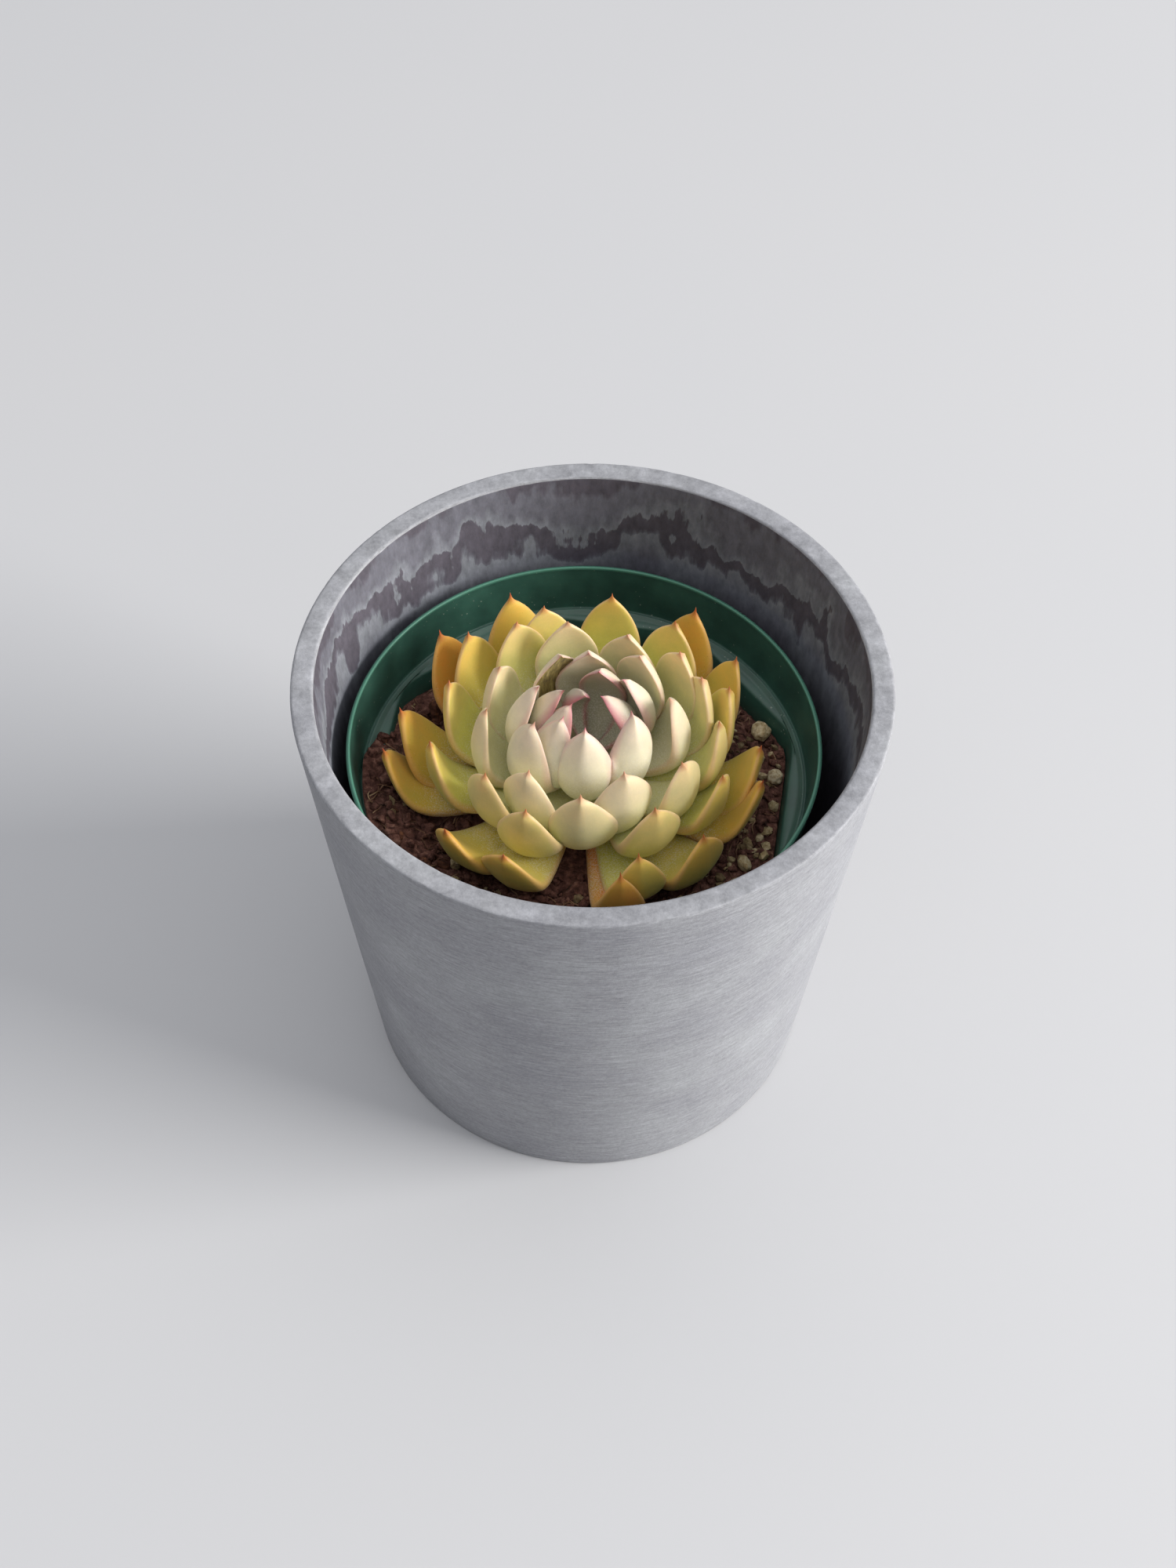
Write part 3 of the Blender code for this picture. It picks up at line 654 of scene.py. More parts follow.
def makeFibres(look, draw, count=420):
    # coir and root threads, bent and lying loosely over the mix
    data = bpy.data.curves.new("coirFibres", "CURVE")
    data.dimensions = "3D"
    data.bevel_depth = 0.11 * mm
    data.bevel_resolution = 1
    data.use_fill_caps = True
    for x, y in soilSpots(draw, count, look, 26 * mm):
        heading = draw.uniform(0, 2 * math.pi)
        length = draw.uniform(2.5, 9.0) * mm
        steps = 8
        spline = data.splines.new("POLY")
        spline.points.add(steps)
        place = Vector((x, y, 0.0))
        lift = draw.uniform(0.1, 1.0) * mm
        for k in range(steps + 1):
            height = soilTop(place.x, place.y, look) + 0.15 * mm + lift * math.sin(math.pi * k / steps)
            spline.points[k].co = (place.x, place.y, height, 1.0)
            spline.points[k].radius = 0.6 + 0.8 * math.sin(math.pi * (k + 0.5) / (steps + 1))
            heading += draw.uniform(-0.55, 0.55)
            step = place + Vector((math.cos(heading), math.sin(heading), 0)) * length / steps
            flat = step - nurseryPot["centre"]
            flat.z = 0.0
            if flat.length < soilEdge(math.atan2(flat.y, flat.x), look) - 0.8 * mm:
                place = step
    material, tree, shader = newMaterial("coirFibre", Roughness=0.8, IOR=1.45)
    place = addNode(tree, "ShaderNodeTexCoord").outputs["Object"]
    tone = addNode(tree, "ShaderNodeTexNoise", {"Vector": place, "Scale": 1 / (4 * mm), "Detail": 1.0})
    colour = addNode(tree, "ShaderNodeValToRGB", {"Fac": tone.outputs["Fac"]}, stops=(
        (0.35, "#3A241B"), (0.52, "#7A5640"), (0.70, "#B39474")))
    tree.links.new(colour.outputs["Color"], shader.inputs["Base Color"])
    data.materials.append(material)
    fibres = bpy.data.objects.new("coirFibres", data)
    bpy.context.scene.collection.objects.link(fibres)
    settle(fibres, "soil")
    print("coir fibres", count)


def makeLooseMix(look):
    draw = random.Random(look["seed"])
    peat = peatMaterial(look, "peatCrumb")
    pumice = pumiceMaterial("pumiceGrit", "#CDBD98", "#8A7650")
    bark = barkMaterial()
    scatter("peatCrumbs", peat, "soil", look, draw, soilSpots(draw, 900, look, 24 * mm),
            (0.8 * mm, 3.4 * mm), 2, (0.5, 0.9), 0.75)
    right = soilSpots(draw, 62, look, 36 * mm, lambda a, s: a > math.radians(318) or a < math.radians(28))
    left = soilSpots(draw, 34, look, 33 * mm, lambda a, s: math.radians(190) < a < math.radians(275))
    rest = soilSpots(draw, 34, look, 30 * mm)
    scatter("pumiceGritPieces", pumice, "pumice", look, draw, right + left + rest,
            (1.0 * mm, 3.2 * mm), 1, (0.55, 0.9), 0.6, flat=True)
    scatter("barkChips", bark, "bark", look, draw,
            soilSpots(draw, 26, look, 36 * mm, lambda a, s: math.radians(130) < a < math.radians(250))
            + soilSpots(draw, 16, look, 30 * mm), (1.6 * mm, 4.2 * mm), 2, (0.25, 0.5))
    makeFibres(look, draw)
    for k, (node, tint) in enumerate((("pumice_piece_1", "#D9C49A"), ("pumice_piece_2", "#D6C7A6"),
                                      ("pumice_piece_3", "#BFAE88"))):
        low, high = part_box(node)
        size = high - low
        points, faces = roughLump((size.x * 1.15, size.y * 1.15, size.z * 1.1), draw, 4, 0.28)
        middle = (low + high) / 2
        stone = meshPiece("pumiceStone" + str(k + 1), [p + middle for p in points], faces,
                          [pumiceMaterial("pumiceStone" + str(k + 1), tint, "#9A7B4E")])
        settle(stone, "pumice", node)
    low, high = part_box("bark_piece")
    size = high - low
    points, faces = roughLump((size.x * 1.3, size.y * 1.1, size.z), draw, 4, 0.3)
    chip = meshPiece("barkPiece", [p + (low + high) / 2 for p in points], faces, [bark])
    settle(chip, "bark", "bark_piece")


makeSoil(pottingSoil)
makeLooseMix(pottingSoil)


# leaves: living tissue under a waxy cuticle, so the eye gets a soft matt bloom over a pale
# green that lets some light in, yellow to orange where the sun has caught the older ones

rosette = {
    "axis": Vector((-1.0, -1.5, 0.0)) * mm,
    "crownHeight": 116.5 * mm,
    "span": 41.0 * mm,
    "drop": 10.5 * mm,
    "lean": 4.5 * mm,
    "heartReach": 7.0 * mm,
    "heartDip": 4.0 * mm,
    "width": 15.0 * mm,
    "thickness": 6.8 * mm,
    "elbow": 0.57,
    "stations": 40,
    "around": 32,
    "leastThickness": 1.3 * mm,
    "clearance": 0.12 * mm,
    "seed": 23,
    # turns from the heart outwards: direction in degrees and reach of the tip in mm
    "turns": (
        ((110, 1.4), (20, 2.8), (205, 3.6), (165, 5.2), (70, 6.5), (28, 8.4), (231, 8.0), (267, 9.2)),
        ((335, 10.3), (169, 10.7), (90, 11.5), (119, 12.2), (213, 13.4), (46, 16.0), (1, 17.6)),
        ((65, 20.0), (293, 20.2), (155, 21.3), (186, 21.9), (236, 21.9), (102, 22.5),
         (267, 23.9), (36, 24.9), (324, 25.0), (18, 26.1)),
        ((219, 27.8), (125, 28.2), (354, 28.7), (244, 29.1), (300, 29.1), (110, 29.8),
         (52, 31.4), (166, 31.6), (13, 31.9), (81, 33.0), (332, 33.1)),
        ((141, 34.9), (192, 35.0), (27, 37.2), (288, 36.0), (281, 38.6), (311, 38.0),
         (243, 38.3), (351, 38.5), (118, 38.6), (52, 39.4)),
        ((222, 40.7), (340, 40.8), (175, 41.8), (144, 41.9), (187, 45.3)),
    ),
    # sun-coloured leaves: how orange each of these numbers is
    "orange": {41: 1.0, 50: 0.95, 46: 0.6, 51: 0.4, 49: 0.35, 48: 0.4, 39: 0.3, 44: 0.25, 45: 0.25,
               43: 0.2, 47: 0.2, 42: 0.2, 37: 0.2},
    "scarred": 12,
    # leaves whose body faces another way than its tip points, in degrees
    "facing": {9: 306},
    # old front leaves that curl up at the end: the angle at which each meets its tip, in degrees
    "upturned": {40: 104, 41: 106, 42: 98},
    "slimmer": {40: 0.86, 41: 0.76},
}


def waxyLeafSkin():
    material, tree, shader = newMaterial("waxyLeafSkin", Roughness=0.5, IOR=1.42)
    shader.inputs["Subsurface Weight"].default_value = 0.22
    shader.inputs["Subsurface Radius"].default_value = (1.0, 0.9, 0.35)
    shader.inputs["Subsurface Scale"].default_value = 2.2 * mm
    shader.inputs["Sheen Weight"].default_value = 0.08
    shader.inputs["Sheen Roughness"].default_value = 0.5
    shader.inputs["Specular IOR Level"].default_value = 0.45
    share = {}
    for name in ("along", "margin", "upper", "age", "orange", "scar", "mood"):
        share[name] = addNode(tree, "ShaderNodeAttribute", attribute_name=name).outputs["Fac"]
    place = addNode(tree, "ShaderNodeTexCoord").outputs["Object"]
    clouds = addNode(tree, "ShaderNodeTexNoise", {
        "Vector": place, "Scale": 1 / (6 * mm), "Detail": 4.0, "Roughness": 0.55})
    grain = addNode(tree, "ShaderNodeTexNoise", {
        "Vector": place, "Scale": 1 / (0.5 * mm), "Detail": 3.0, "Roughness": 0.6})
    # skin colour by age: pale bloom at the heart, green-yellow, then olive on the oldest
    body = addNode(tree, "ShaderNodeValToRGB", {"Fac": share["age"]}, stops=(
        (0.0, "#BFB8A8"), (0.14, "#E0D6BA"), (0.30, "#EADFC2"), (0.48, "#EAE1BE"), (0.62, "#E2DA9C"),
        (0.78, "#DACE66"), (1.0, "#D0C04E")))
    # towards the foot the bloom is untouched and greener
    foot = addNode(tree, "ShaderNodeValToRGB", {"Fac": share["age"]}, stops=(
        (0.0, "#B0AE9C"), (0.25, "#DEDEC4"), (0.5, "#D8DAAE"), (0.75, "#C2C66C"), (1.0, "#AEB44C")))
    low = addNode(tree, "ShaderNodeMapRange", {
        "Value": share["along"], "From Min": 0.35, "From Max": 0.85, "To Min": 0.9, "To Max": 0.0})
    skin = addNode(tree, "ShaderNodeMix", {
        "Factor": low.outputs[0], 6: body.outputs["Color"], 7: foot.outputs["Color"]}, data_type="RGBA")
    # upper faces take a darker, greener tone: painted shade from the neighbouring leaves that lie over them
    upperFaceShade = addNode(tree, "ShaderNodeMath", {0: share["upper"], 1: 0.7}, operation="MULTIPLY")
    inner = addNode(tree, "ShaderNodeValToRGB", {"Fac": share["age"]}, stops=(
        (0.0, "#949682"), (0.25, "#BCBC96"), (0.55, "#D2D092"), (0.78, "#D2D068"), (1.0, "#D0C454")))
    twoFaced = addNode(tree, "ShaderNodeMix", {
        "Factor": upperFaceShade.outputs[0], 6: skin.outputs[2], 7: inner.outputs["Color"]}, data_type="RGBA")
    # sun colour, patchy, stronger towards the tip
    patch = addNode(tree, "ShaderNodeMapRange", {
        "Value": clouds.outputs["Fac"], "From Min": 0.3, "From Max": 0.7, "To Min": 0.55, "To Max": 1.1})
    sunny = addNode(tree, "ShaderNodeMath", {0: share["orange"], 1: patch.outputs[0]},
                    operation="MULTIPLY", use_clamp=True)
    warmed = addNode(tree, "ShaderNodeMix", {
        "Factor": sunny.outputs[0], 6: twoFaced.outputs[2], 7: hexToLinear("#CF8232")}, data_type="RGBA")
    # the last quarter blushes: flesh pink on middle leaves, orange on the old ones
    blushTone = addNode(tree, "ShaderNodeValToRGB", {"Fac": share["age"]}, stops=(
        (0.0, "#C79A98"), (0.25, "#E8D0BC"), (0.55, "#E8C79E"), (0.8, "#DDB25C"), (1.0, "#D69C40")))
    blushFrom = addNode(tree, "ShaderNodeMapRange", {
        "Value": share["along"], "From Min": 0.74, "From Max": 0.98, "To Max": 0.8})
    blush = addNode(tree, "ShaderNodeMath", {0: blushFrom.outputs[0], 1: patch.outputs[0]},
                    operation="MULTIPLY", use_clamp=True)
    blushed = addNode(tree, "ShaderNodeMix", {
        "Factor": blush.outputs[0], 6: warmed.outputs[2], 7: blushTone.outputs["Color"]},
        data_type="RGBA")
    # margins: crimson at the heart, flesh pink, then orange
    rimTone = addNode(tree, "ShaderNodeValToRGB", {"Fac": share["age"]}, stops=(
        (0.0, "#B23A62"), (0.12, "#C05A74"), (0.22, "#DFB2AA"), (0.55, "#EBCDAC"), (1.0, "#E2AE62")))
    rimStart = addNode(tree, "ShaderNodeMapRange", {
        "Value": share["age"], "From Max": 0.3, "To Min": 0.45, "To Max": 0.86})
    rimEdge = addNode(tree, "ShaderNodeMapRange", {
        "Value": share["margin"], "From Min": rimStart.outputs[0], "From Max": 1.0, "To Max": 0.7})
    rimmed = addNode(tree, "ShaderNodeMix", {
        "Factor": rimEdge.outputs[0], 6: blushed.outputs[2], 7: rimTone.outputs["Color"]},
        data_type="RGBA")
    # the short stiff point at the tip
    tipTone = addNode(tree, "ShaderNodeValToRGB", {"Fac": share["age"]}, stops=(
        (0.0, "#9E2A50"), (0.2, "#B5506A"), (0.4, "#C98F7C"), (0.7, "#B5543C"), (1.0, "#A62A26")))
    tipShare = addNode(tree, "ShaderNodeMapRange", {
        "Value": share["along"], "From Min": 0.955, "From Max": 0.99, "To Min": 0.0, "To Max": 0.9})
    tipped = addNode(tree, "ShaderNodeMix", {
        "Factor": tipShare.outputs[0], 6: rimmed.outputs[2], 7: tipTone.outputs["Color"]},
        data_type="RGBA")
    # rubbed bloom: soft lighter and darker clouds and a fine grain
    bloom = addNode(tree, "ShaderNodeMapRange", {
        "Value": clouds.outputs["Fac"], "From Min": 0.25, "From Max": 0.75, "To Min": 0.88, "To Max": 1.10})
    fineBloom = addNode(tree, "ShaderNodeMapRange", {
        "Value": grain.outputs["Fac"], "To Min": 0.94, "To Max": 1.06})
    both = addNode(tree, "ShaderNodeMath", {0: bloom.outputs[0], 1: fineBloom.outputs[0]},
                   operation="MULTIPLY")
    clouded = addNode(tree, "ShaderNodeVectorMath", {
        0: tipped.outputs[2], "Scale": both.outputs[0]}, operation="SCALE")
    # powdery bloom left in specks near the foot, small brown freckles on the old leaves
    powderGrain = addNode(tree, "ShaderNodeTexNoise", {
        "Vector": place, "Scale": 1 / (0.32 * mm), "Detail": 2.0, "Roughness": 0.7})
    powderArea = addNode(tree, "ShaderNodeMapRange", {
        "Value": share["along"], "From Min": 0.55, "From Max": 0.85, "To Min": 0.62, "To Max": 0.38})
    powderSum = addNode(tree, "ShaderNodeMath", {
        0: powderGrain.outputs["Fac"], 1: powderArea.outputs[0]}, operation="ADD")
    powderMap = addNode(tree, "ShaderNodeMapRange", {
        "Value": powderSum.outputs[0], "From Min": 1.05, "From Max": 1.30, "To Max": 0.5})
    powdered = addNode(tree, "ShaderNodeMix", {
        "Factor": powderMap.outputs[0], 6: clouded.outputs["Vector"], 7: hexToLinear("#F1EFE6")},
        data_type="RGBA")
    freckleCells = addNode(tree, "ShaderNodeTexVoronoi", {"Vector": place, "Scale": 1 / (1.1 * mm)})
    freckleSize = addNode(tree, "ShaderNodeMapRange", {
        "Value": share["age"], "From Min": 0.7, "From Max": 1.0, "To Min": 0.0, "To Max": 0.11})
    freckle = addNode(tree, "ShaderNodeMath", {
        0: freckleCells.outputs["Distance"], 1: freckleSize.outputs[0]}, operation="LESS_THAN")
    freckleShare = addNode(tree, "ShaderNodeMath", {0: freckle.outputs[0], 1: 0.4}, operation="MULTIPLY")
    freckled = addNode(tree, "ShaderNodeMix", {
        "Factor": freckleShare.outputs[0], 6: powdered.outputs[2], 7: hexToLinear("#8A5A2C")},
        data_type="RGBA")
    # one leaf was bruised: its upper face dried brown in streaks
    streakMap = addNode(tree, "ShaderNodeMapping", {
        "Vector": place, "Scale": (1 / (1.2 * mm), 1 / (1.2 * mm), 1 / (5 * mm))})
    streak = addNode(tree, "ShaderNodeTexNoise", {
        "Vector": streakMap.outputs["Vector"], "Scale": 1.0, "Detail": 4.0, "Roughness": 0.7})
    scarTone = addNode(tree, "ShaderNodeValToRGB", {"Fac": streak.outputs["Fac"]}, stops=(
        (0.35, "#5A4A22"), (0.52, "#8A7A3E"), (0.68, "#B5A468")))
    healed = addNode(tree, "ShaderNodeMix", {
        "Factor": share["scar"], 6: freckled.outputs[2], 7: scarTone.outputs["Color"]},
        data_type="RGBA")
    tree.links.new(healed.outputs[2], shader.inputs["Base Color"])
    rough = addNode(tree, "ShaderNodeMapRange", {
        "Value": clouds.outputs["Fac"], "To Min": 0.42, "To Max": 0.60})
    tree.links.new(rough.outputs[0], shader.inputs["Roughness"])
    bump = addNode(tree, "ShaderNodeBump", {
        "Strength": 0.18, "Distance": 0.08 * mm, "Height": grain.outputs["Fac"]})
    tree.links.new(bump.outputs["Normal"], shader.inputs["Normal"])
    return material


def leafShape(number, angle, reach, look):
    drop = look["drop"] - look["lean"] * math.sin(angle)
    tip = look["crownHeight"] - drop * (reach / look["span"]) ** 2
    tip -= look["heartDip"] * max(0.0, 1 - reach / look["heartReach"])
    age = min(1.0, reach / look["span"])
    base = 99.0 * mm - 14.5 * mm * age ** 0.6
    return {
        "age": age,
        "tip": Vector((reach, tip)),
        "base": Vector((2.6 * mm, base)),
        "leave": math.radians(-9 if number in look["upturned"] else 4 + 46 * math.exp(-reach / (8 * mm))),
        "arrive": math.radians(look["upturned"].get(number, 130 - 50 * age)),
        "width": look["width"] * (1 - math.exp(-(reach / mm + 2) / 6)) * look["slimmer"].get(number, 1.0),
        "thickness": look["thickness"] * (0.42 + 0.58 * age ** 0.5),
    }


def spineAt(shape, t, look):
    pull = (shape["tip"] - shape["base"]).length * look["elbow"]
    first = shape["base"] + pull * Vector((math.cos(shape["leave"]), math.sin(shape["leave"])))
    second = shape["tip"] - pull * Vector((math.cos(shape["arrive"]), math.sin(shape["arrive"])))
    s = 1 - t
    point = s ** 3 * shape["base"] + 3 * s * s * t * first + 3 * s * t * t * second + t ** 3 * shape["tip"]
    along = s * s * (first - shape["base"]) + 2 * s * t * (second - first) + t * t * (shape["tip"] - second)
    return point, along.normalized()


def outline(t, bluntness):
    # half width as a share: narrow foot, full shoulders, then a short stiff point
    widest = 0.60 + 0.46 * (0.95 - bluntness)
    foot = 0.34 + 0.66 * math.sin(math.pi / 2 * min(1.0, t / widest)) ** 1.3
    p = min(1.0, max(0.0, (t - widest) / (0.970 - widest)))
    blade = foot * (1 - p ** 2.15) ** bluntness
    spike = 0.15 * min(1.0, max(0.0, (t - 0.6) / 0.3)) * min(1.0, max(0.0, 1 - t) / 0.075)
    return (blade ** 1.8 + spike ** 1.8) ** (1 / 1.8)


def leafArrays(angle, tipAside, shape, look, draw):
    # points in rows from foot to tip, and what the skin needs to know at each
    rows, count = look["stations"], look["around"]
    out = Vector((math.cos(angle), math.sin(angle), 0))
    side = Vector((-math.sin(angle), math.cos(angle), 0))
    sway = draw.uniform(-0.9, 0.9) * mm
    roll = math.radians(draw.uniform(-7, 7))
    plump = draw.uniform(0.93, 1.07)
    wide = draw.uniform(0.97, 1.04)
    cup = 0.03 + 0.30 * (1 - shape["age"]) + draw.uniform(-0.03, 0.03)
    face = 0.12 + 0.34 * shape["age"]          # how much of the thickness swells the upper face
    bluntness = 0.95 - 0.22 * min(1.0, shape["age"] / 0.6) + draw.uniform(-0.05, 0.05)
    points = np.zeros((rows, count, 3))
    normals = np.zeros((rows, 3))
    facts = {name: np.zeros((rows, count)) for name in ("along", "margin", "upper")}
    for r in range(rows):
        t = 1 - (1 - r / (rows - 1)) ** 1.3
        t = min(t, 0.9985)
        middle, along = spineAt(shape, t, look)
        half = outline(t, bluntness) * shape["width"] / 2 * wide
        thick = shape["thickness"] * plump * (0.5 + 0.5 * math.sin(math.pi * min(1.0, t / 0.96) ** 0.85))
        thick = min(thick * (1 - 0.5 * t ** 5), 1.7 * half)
        lift = Vector((-along.y, along.x))
        twist = roll * math.sin(math.pi * t)
        ridge = min(1.0, max(0.0, (t - 0.50) / 0.42))
        ridge = ridge * ridge * (3 - 2 * ridge)
        for c in range(count):
            turn = 2 * math.pi * c / count
            u = math.cos(turn)
            lean = math.sin(turn)
            full = abs(lean) ** 0.82           # plump below, ridged like a keel towards the tip
            keeled = 0.45 * full + 0.62 * (1 - abs(u)) ** 0.85
            if lean >= 0:
                rise = face * thick * full
            else:
                rise = (face - 1) * thick * (full * (1 - ridge) + keeled * ridge)
            rise += cup * half * u * u * min(1.0, 2.2 * t)
            across = half * u + twist * rise
            rise += twist * half * u * 0.8
            place = middle + lift * rise
            aside = sway * math.sin(math.pi * t) + tipAside * t * t
            spot = look["axis"] + out * place.x + side * (across + aside)
            points[r, c] = spot + Vector((0, 0, place.y))
            facts["along"][r, c] = t
            facts["margin"][r, c] = abs(u)
            facts["upper"][r, c] = 1.0 if lean > 0.05 else 0.0
        normals[r] = out * lift.x + Vector((0, 0, lift.y))
    return points, normals, facts


def makeRoom(points, normals, trees, look):
    # where an inner leaf already lies, this one is pressed outwards, as they grow packed together
    rows, count = points.shape[:2]
    shift = np.zeros((rows, count))
    low, high = points.reshape(-1, 3).min(0), points.reshape(-1, 3).max(0)
    near = [tree for tree, (a, b) in trees if (a < high).all() and (b > low).all()]
    if not near:
        return points
    for r in range(rows):
        away = -Vector(normals[r])
        for c in range(count // 2 + 1):
            for tree in near:
                spot = Vector(points[r, c]) + away * shift[r, c]
                hit, normal, _, distance = tree.find_nearest(spot, 7 * mm)
                if hit is None or (spot - hit).dot(normal) >= 0:
                    continue
                through, _, _, distance = tree.ray_cast(spot, away, 9 * mm)
                if through is not None:
                    shift[r, c] += distance + look["clearance"]
    half = count // 2
    for _ in range(3):                       # spread the dents softly
        soft = shift.copy()
        soft[1:-1, 1:half] = (shift[1:-1, 1:half] * 2 + shift[:-2, 1:half] + shift[2:, 1:half]
                              + shift[1:-1, :half - 1] + shift[1:-1, 2:half + 1]) / 6
        shift = np.maximum(shift, soft)
    for r in range(rows):
        away = -np.array(normals[r])
        for c in range(half + 1):
            below = (count - c) % count
            depth = float(np.dot(points[r, c] - points[r, below], normals[r])) if below != c else 0.0
            points[r, c] = points[r, c] + away * shift[r, c]
            if below != c:
                extra = max(0.0, shift[r, c] - max(0.0, depth - look["leastThickness"]))
                points[r, below] = points[r, below] + away * extra
    return points


def makeLeaves(look):
    draw = random.Random(look["seed"])
    skin = waxyLeafSkin()
    rows, count = look["stations"], look["around"]
    faces = gridFaces(rows, count)
    faces += capFaces(0, count, rows * count, True)
    faces += capFaces((rows - 1) * count, count, rows * count + 1, False)
    faces = [tuple(reversed(f)) for f in faces]
    trees = []
    number = 0
    for turn in look["turns"]:
        for degrees, reach in turn:
            number += 1
            angle = math.radians(look["facing"].get(number, degrees))
            off = math.radians(degrees) - angle
            shape = leafShape(number, angle, reach * mm * math.cos(off), look)
            points, normals, facts = leafArrays(angle, reach * mm * math.sin(off), shape, look, draw)
            points = makeRoom(points, normals, trees, look)
            foot = points[0].mean(0)
            tip = points[-1].mean(0)
            flat = [Vector(p) for p in points.reshape(-1, 3)] + [Vector(foot), Vector(tip)]
            leaf = meshPiece("leaf%02d" % number, flat, faces, [skin])
            facts["age"] = np.full((rows, count), shape["age"])
            facts["orange"] = np.full((rows, count), look["orange"].get(number, 0.0))
            facts["mood"] = np.full((rows, count), draw.random())
            scar = np.zeros((rows, count))
            if number == look["scarred"]:
                scar = np.where(facts["along"] > 0.55, facts["upper"], 0.0)
            facts["scar"] = scar
            for name, values in facts.items():
                ends = [values[0].mean(), values[-1].mean()]
                layer = leaf.data.attributes.new(name, "FLOAT", "POINT")
                layer.data.foreach_set("value", list(values.ravel()) + ends)
            slotName = "leaf_heart" if number <= 15 else "leaf_middle" if number <= 36 else "leaf_outer"
            settle(leaf, slotName, "leaf_%02d" % number)
            tree = BVHTree.FromPolygons(flat, faces)
            cloud = points.reshape(-1, 3)
            trees.append((tree, (cloud.min(0), cloud.max(0))))
    print("leaves", number)


makeLeaves(rosette)


# stem: short, hidden, corky skin with a greenish cast and rings of old leaf scars

stemLook = {"radius": 3.7 * mm, "topRadius": 1.0 * mm, "segments": 40, "rows": 44,
            "bark": "#7A6A45", "green": "#8A8C50"}


def makeStem(look):
    low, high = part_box("stem")
    points = []
    for r in range(look["rows"]):
        share = r / (look["rows"] - 1)
        height = low.z + (high.z - low.z - 0.6 * mm) * share
        radius = look["radius"] + (look["topRadius"] - look["radius"]) * max(0.0, share * 1.3 - 0.3)
        for c in range(look["segments"]):
            angle = 2 * math.pi * c / look["segments"]
            scar = 0.12 * mm * math.sin(13 * angle + 30 * share * 6.28)
            reach = radius + scar * (1 - share)
            points.append(rosette["axis"] + Vector((math.cos(angle) * reach, math.sin(angle) * reach, height)))
    faces = gridFaces(look["rows"], look["segments"])
    points += [rosette["axis"] + Vector((0, 0, low.z)), rosette["axis"] + Vector((0, 0, high.z))]
    faces += capFaces(0, look["segments"], len(points) - 2, True)
    faces += capFaces((look["rows"] - 1) * look["segments"], look["segments"], len(points) - 1, False)
    material, tree, shader = newMaterial("corkyStemSkin", Roughness=0.8, IOR=1.45)
    place = addNode(tree, "ShaderNodeTexCoord").outputs["Object"]
    cork = addNode(tree, "ShaderNodeTexNoise", {"Vector": place, "Scale": 1 / (1.5 * mm), "Detail": 4.0})
    colour = addNode(tree, "ShaderNodeValToRGB", {"Fac": cork.outputs["Fac"]}, stops=(
        (0.35, look["bark"]), (0.65, look["green"])))
    tree.links.new(colour.outputs["Color"], shader.inputs["Base Color"])
    bump = addNode(tree, "ShaderNodeBump", {
        "Strength": 0.5, "Distance": 0.2 * mm, "Height": cork.outputs["Fac"]})
    tree.links.new(bump.outputs["Normal"], shader.inputs["Normal"])
    stem = meshPiece("shortStem", points, faces, [material])
    settle(stem, "stem", "stem")
    print("stem")


makeStem(stemLook)


# studio: pale table, one wide soft light low on the right, soft fill from all round

studio = {
    "table": "#C7C7C9",
    "tableShade": "#C4C5C8",
    "keyPower": 140.0,
    "keyDirection": math.radians(-8.0),
    "keyElevation": math.radians(22.0),
    "keyDistance": 3.0,
    "keySize": 1.6,
    "ceiling": 1.10,
    "lowRound": 0.08,
    "fillTone": "#F4F5F8",
    "lens": 48.08,
    "lookDown": math.radians(52.59),
    "roll": math.radians(0.85),
    "eye": Vector((-0.00071, -0.29205, 0.34311)),   # from the middle of the outer pot's rim
}


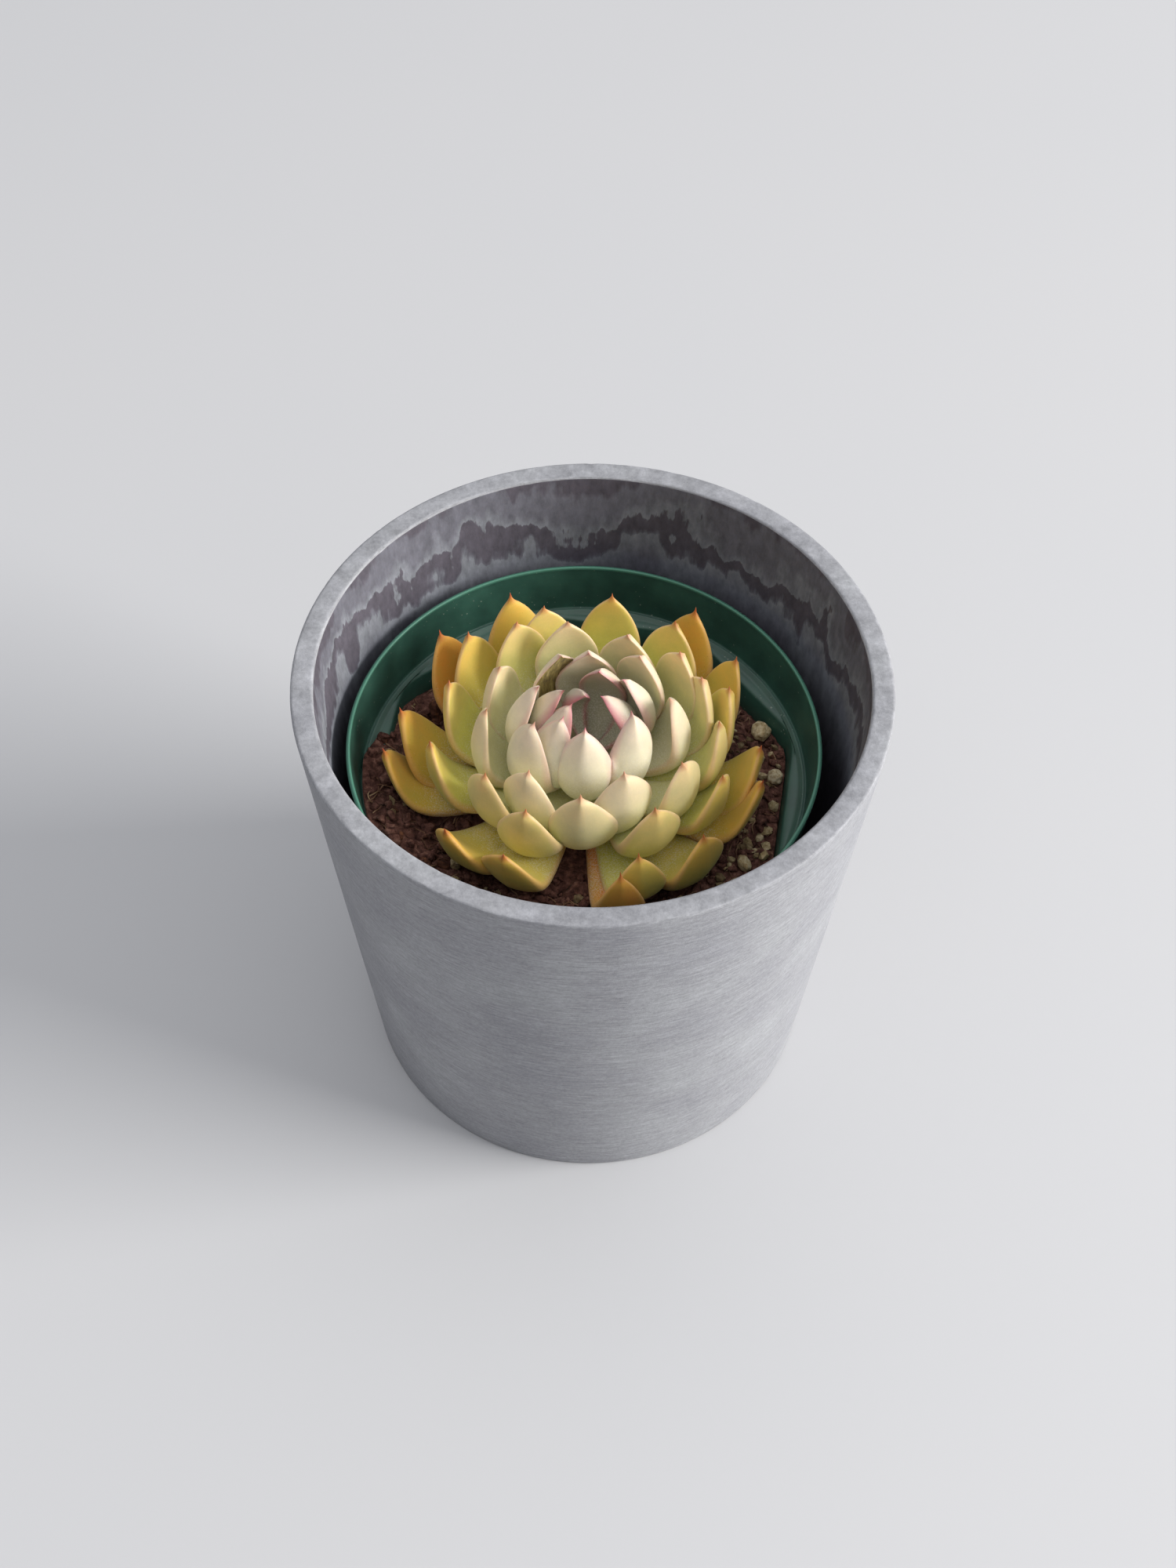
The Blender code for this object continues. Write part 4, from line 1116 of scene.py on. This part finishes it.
def makeStudio(look):
    floorMaterial, tree, shader = newMaterial("paleTable", Roughness=0.55, IOR=1.45)
    place = addNode(tree, "ShaderNodeTexCoord").outputs["Object"]
    clouds = addNode(tree, "ShaderNodeTexNoise", {"Vector": place, "Scale": 6.0, "Detail": 2.0})
    tone = addNode(tree, "ShaderNodeMix", {
        "Factor": clouds.outputs["Fac"], 6: hexToLinear(look["table"]), 7: hexToLinear(look["tableShade"])},
        data_type="RGBA")
    tree.links.new(tone.outputs[2], shader.inputs["Base Color"])
    span = 3.0
    table = meshPiece("table", [(-span, -span, 0), (span, -span, 0), (span, span, 0), (-span, span, 0)],
                      [(0, 1, 2, 3)], [floorMaterial])
    data = bpy.data.lights.new("softWindow", "AREA")
    data.shape = "SQUARE"
    data.size = look["keySize"]
    data.energy = look["keyPower"]
    data.color = hexToLinear("#FFFDF9")[:3]
    key = bpy.data.objects.new("softWindow", data)
    flat = math.cos(look["keyElevation"]) * look["keyDistance"]
    key.location = (flat * math.cos(look["keyDirection"]), flat * math.sin(look["keyDirection"]),
                    math.sin(look["keyElevation"]) * look["keyDistance"] + 0.08)
    aim = Vector((0, 0, 0.08)) - key.location
    key.rotation_euler = aim.to_track_quat("-Z", "Y").to_euler()
    bpy.context.scene.collection.objects.link(key)
    world = bpy.data.worlds.new("softFill")
    world.use_nodes = True
    # the room: light comes off the ceiling, little comes from low down
    sky = world.node_tree
    background = sky.nodes["Background"]
    background.inputs["Color"].default_value = hexToLinear(look["fillTone"])
    heading = addNode(sky, "ShaderNodeTexCoord").outputs["Generated"]
    upwards = addNode(sky, "ShaderNodeSeparateXYZ", {"Vector": heading})
    strength = addNode(sky, "ShaderNodeMapRange", {
        "Value": upwards.outputs["Z"], "From Min": 0.25, "From Max": 0.88,
        "To Min": look["lowRound"], "To Max": look["ceiling"]}, interpolation_type="SMOOTHSTEP")
    sky.links.new(strength.outputs[0], background.inputs["Strength"])
    bpy.context.scene.world = world
    bpy.context.scene.view_settings.view_transform = "Standard"


def makeCamera(look):
    data = bpy.data.cameras.new("view")
    data.lens = look["lens"]
    data.sensor_width = 36.0
    data.clip_start = 0.01
    camera = bpy.data.objects.new("view", data)
    rim = Vector((0, 0, outerPot["height"]))
    ahead = Vector((0, math.cos(look["lookDown"]), -math.sin(look["lookDown"])))
    above = Vector((0, math.sin(look["lookDown"]), math.cos(look["lookDown"])))
    across = Vector((1, 0, 0))
    turnedAcross = across * math.cos(look["roll"]) + above * math.sin(look["roll"])
    turnedAbove = above * math.cos(look["roll"]) - across * math.sin(look["roll"])
    pose = Matrix((turnedAcross, turnedAbove, -ahead)).transposed().to_4x4()
    pose.translation = rim + look["eye"]
    camera.matrix_world = pose
    bpy.context.scene.collection.objects.link(camera)
    bpy.context.scene.camera = camera


makeStudio(studio)
makeCamera(studio)
print("studio and camera")
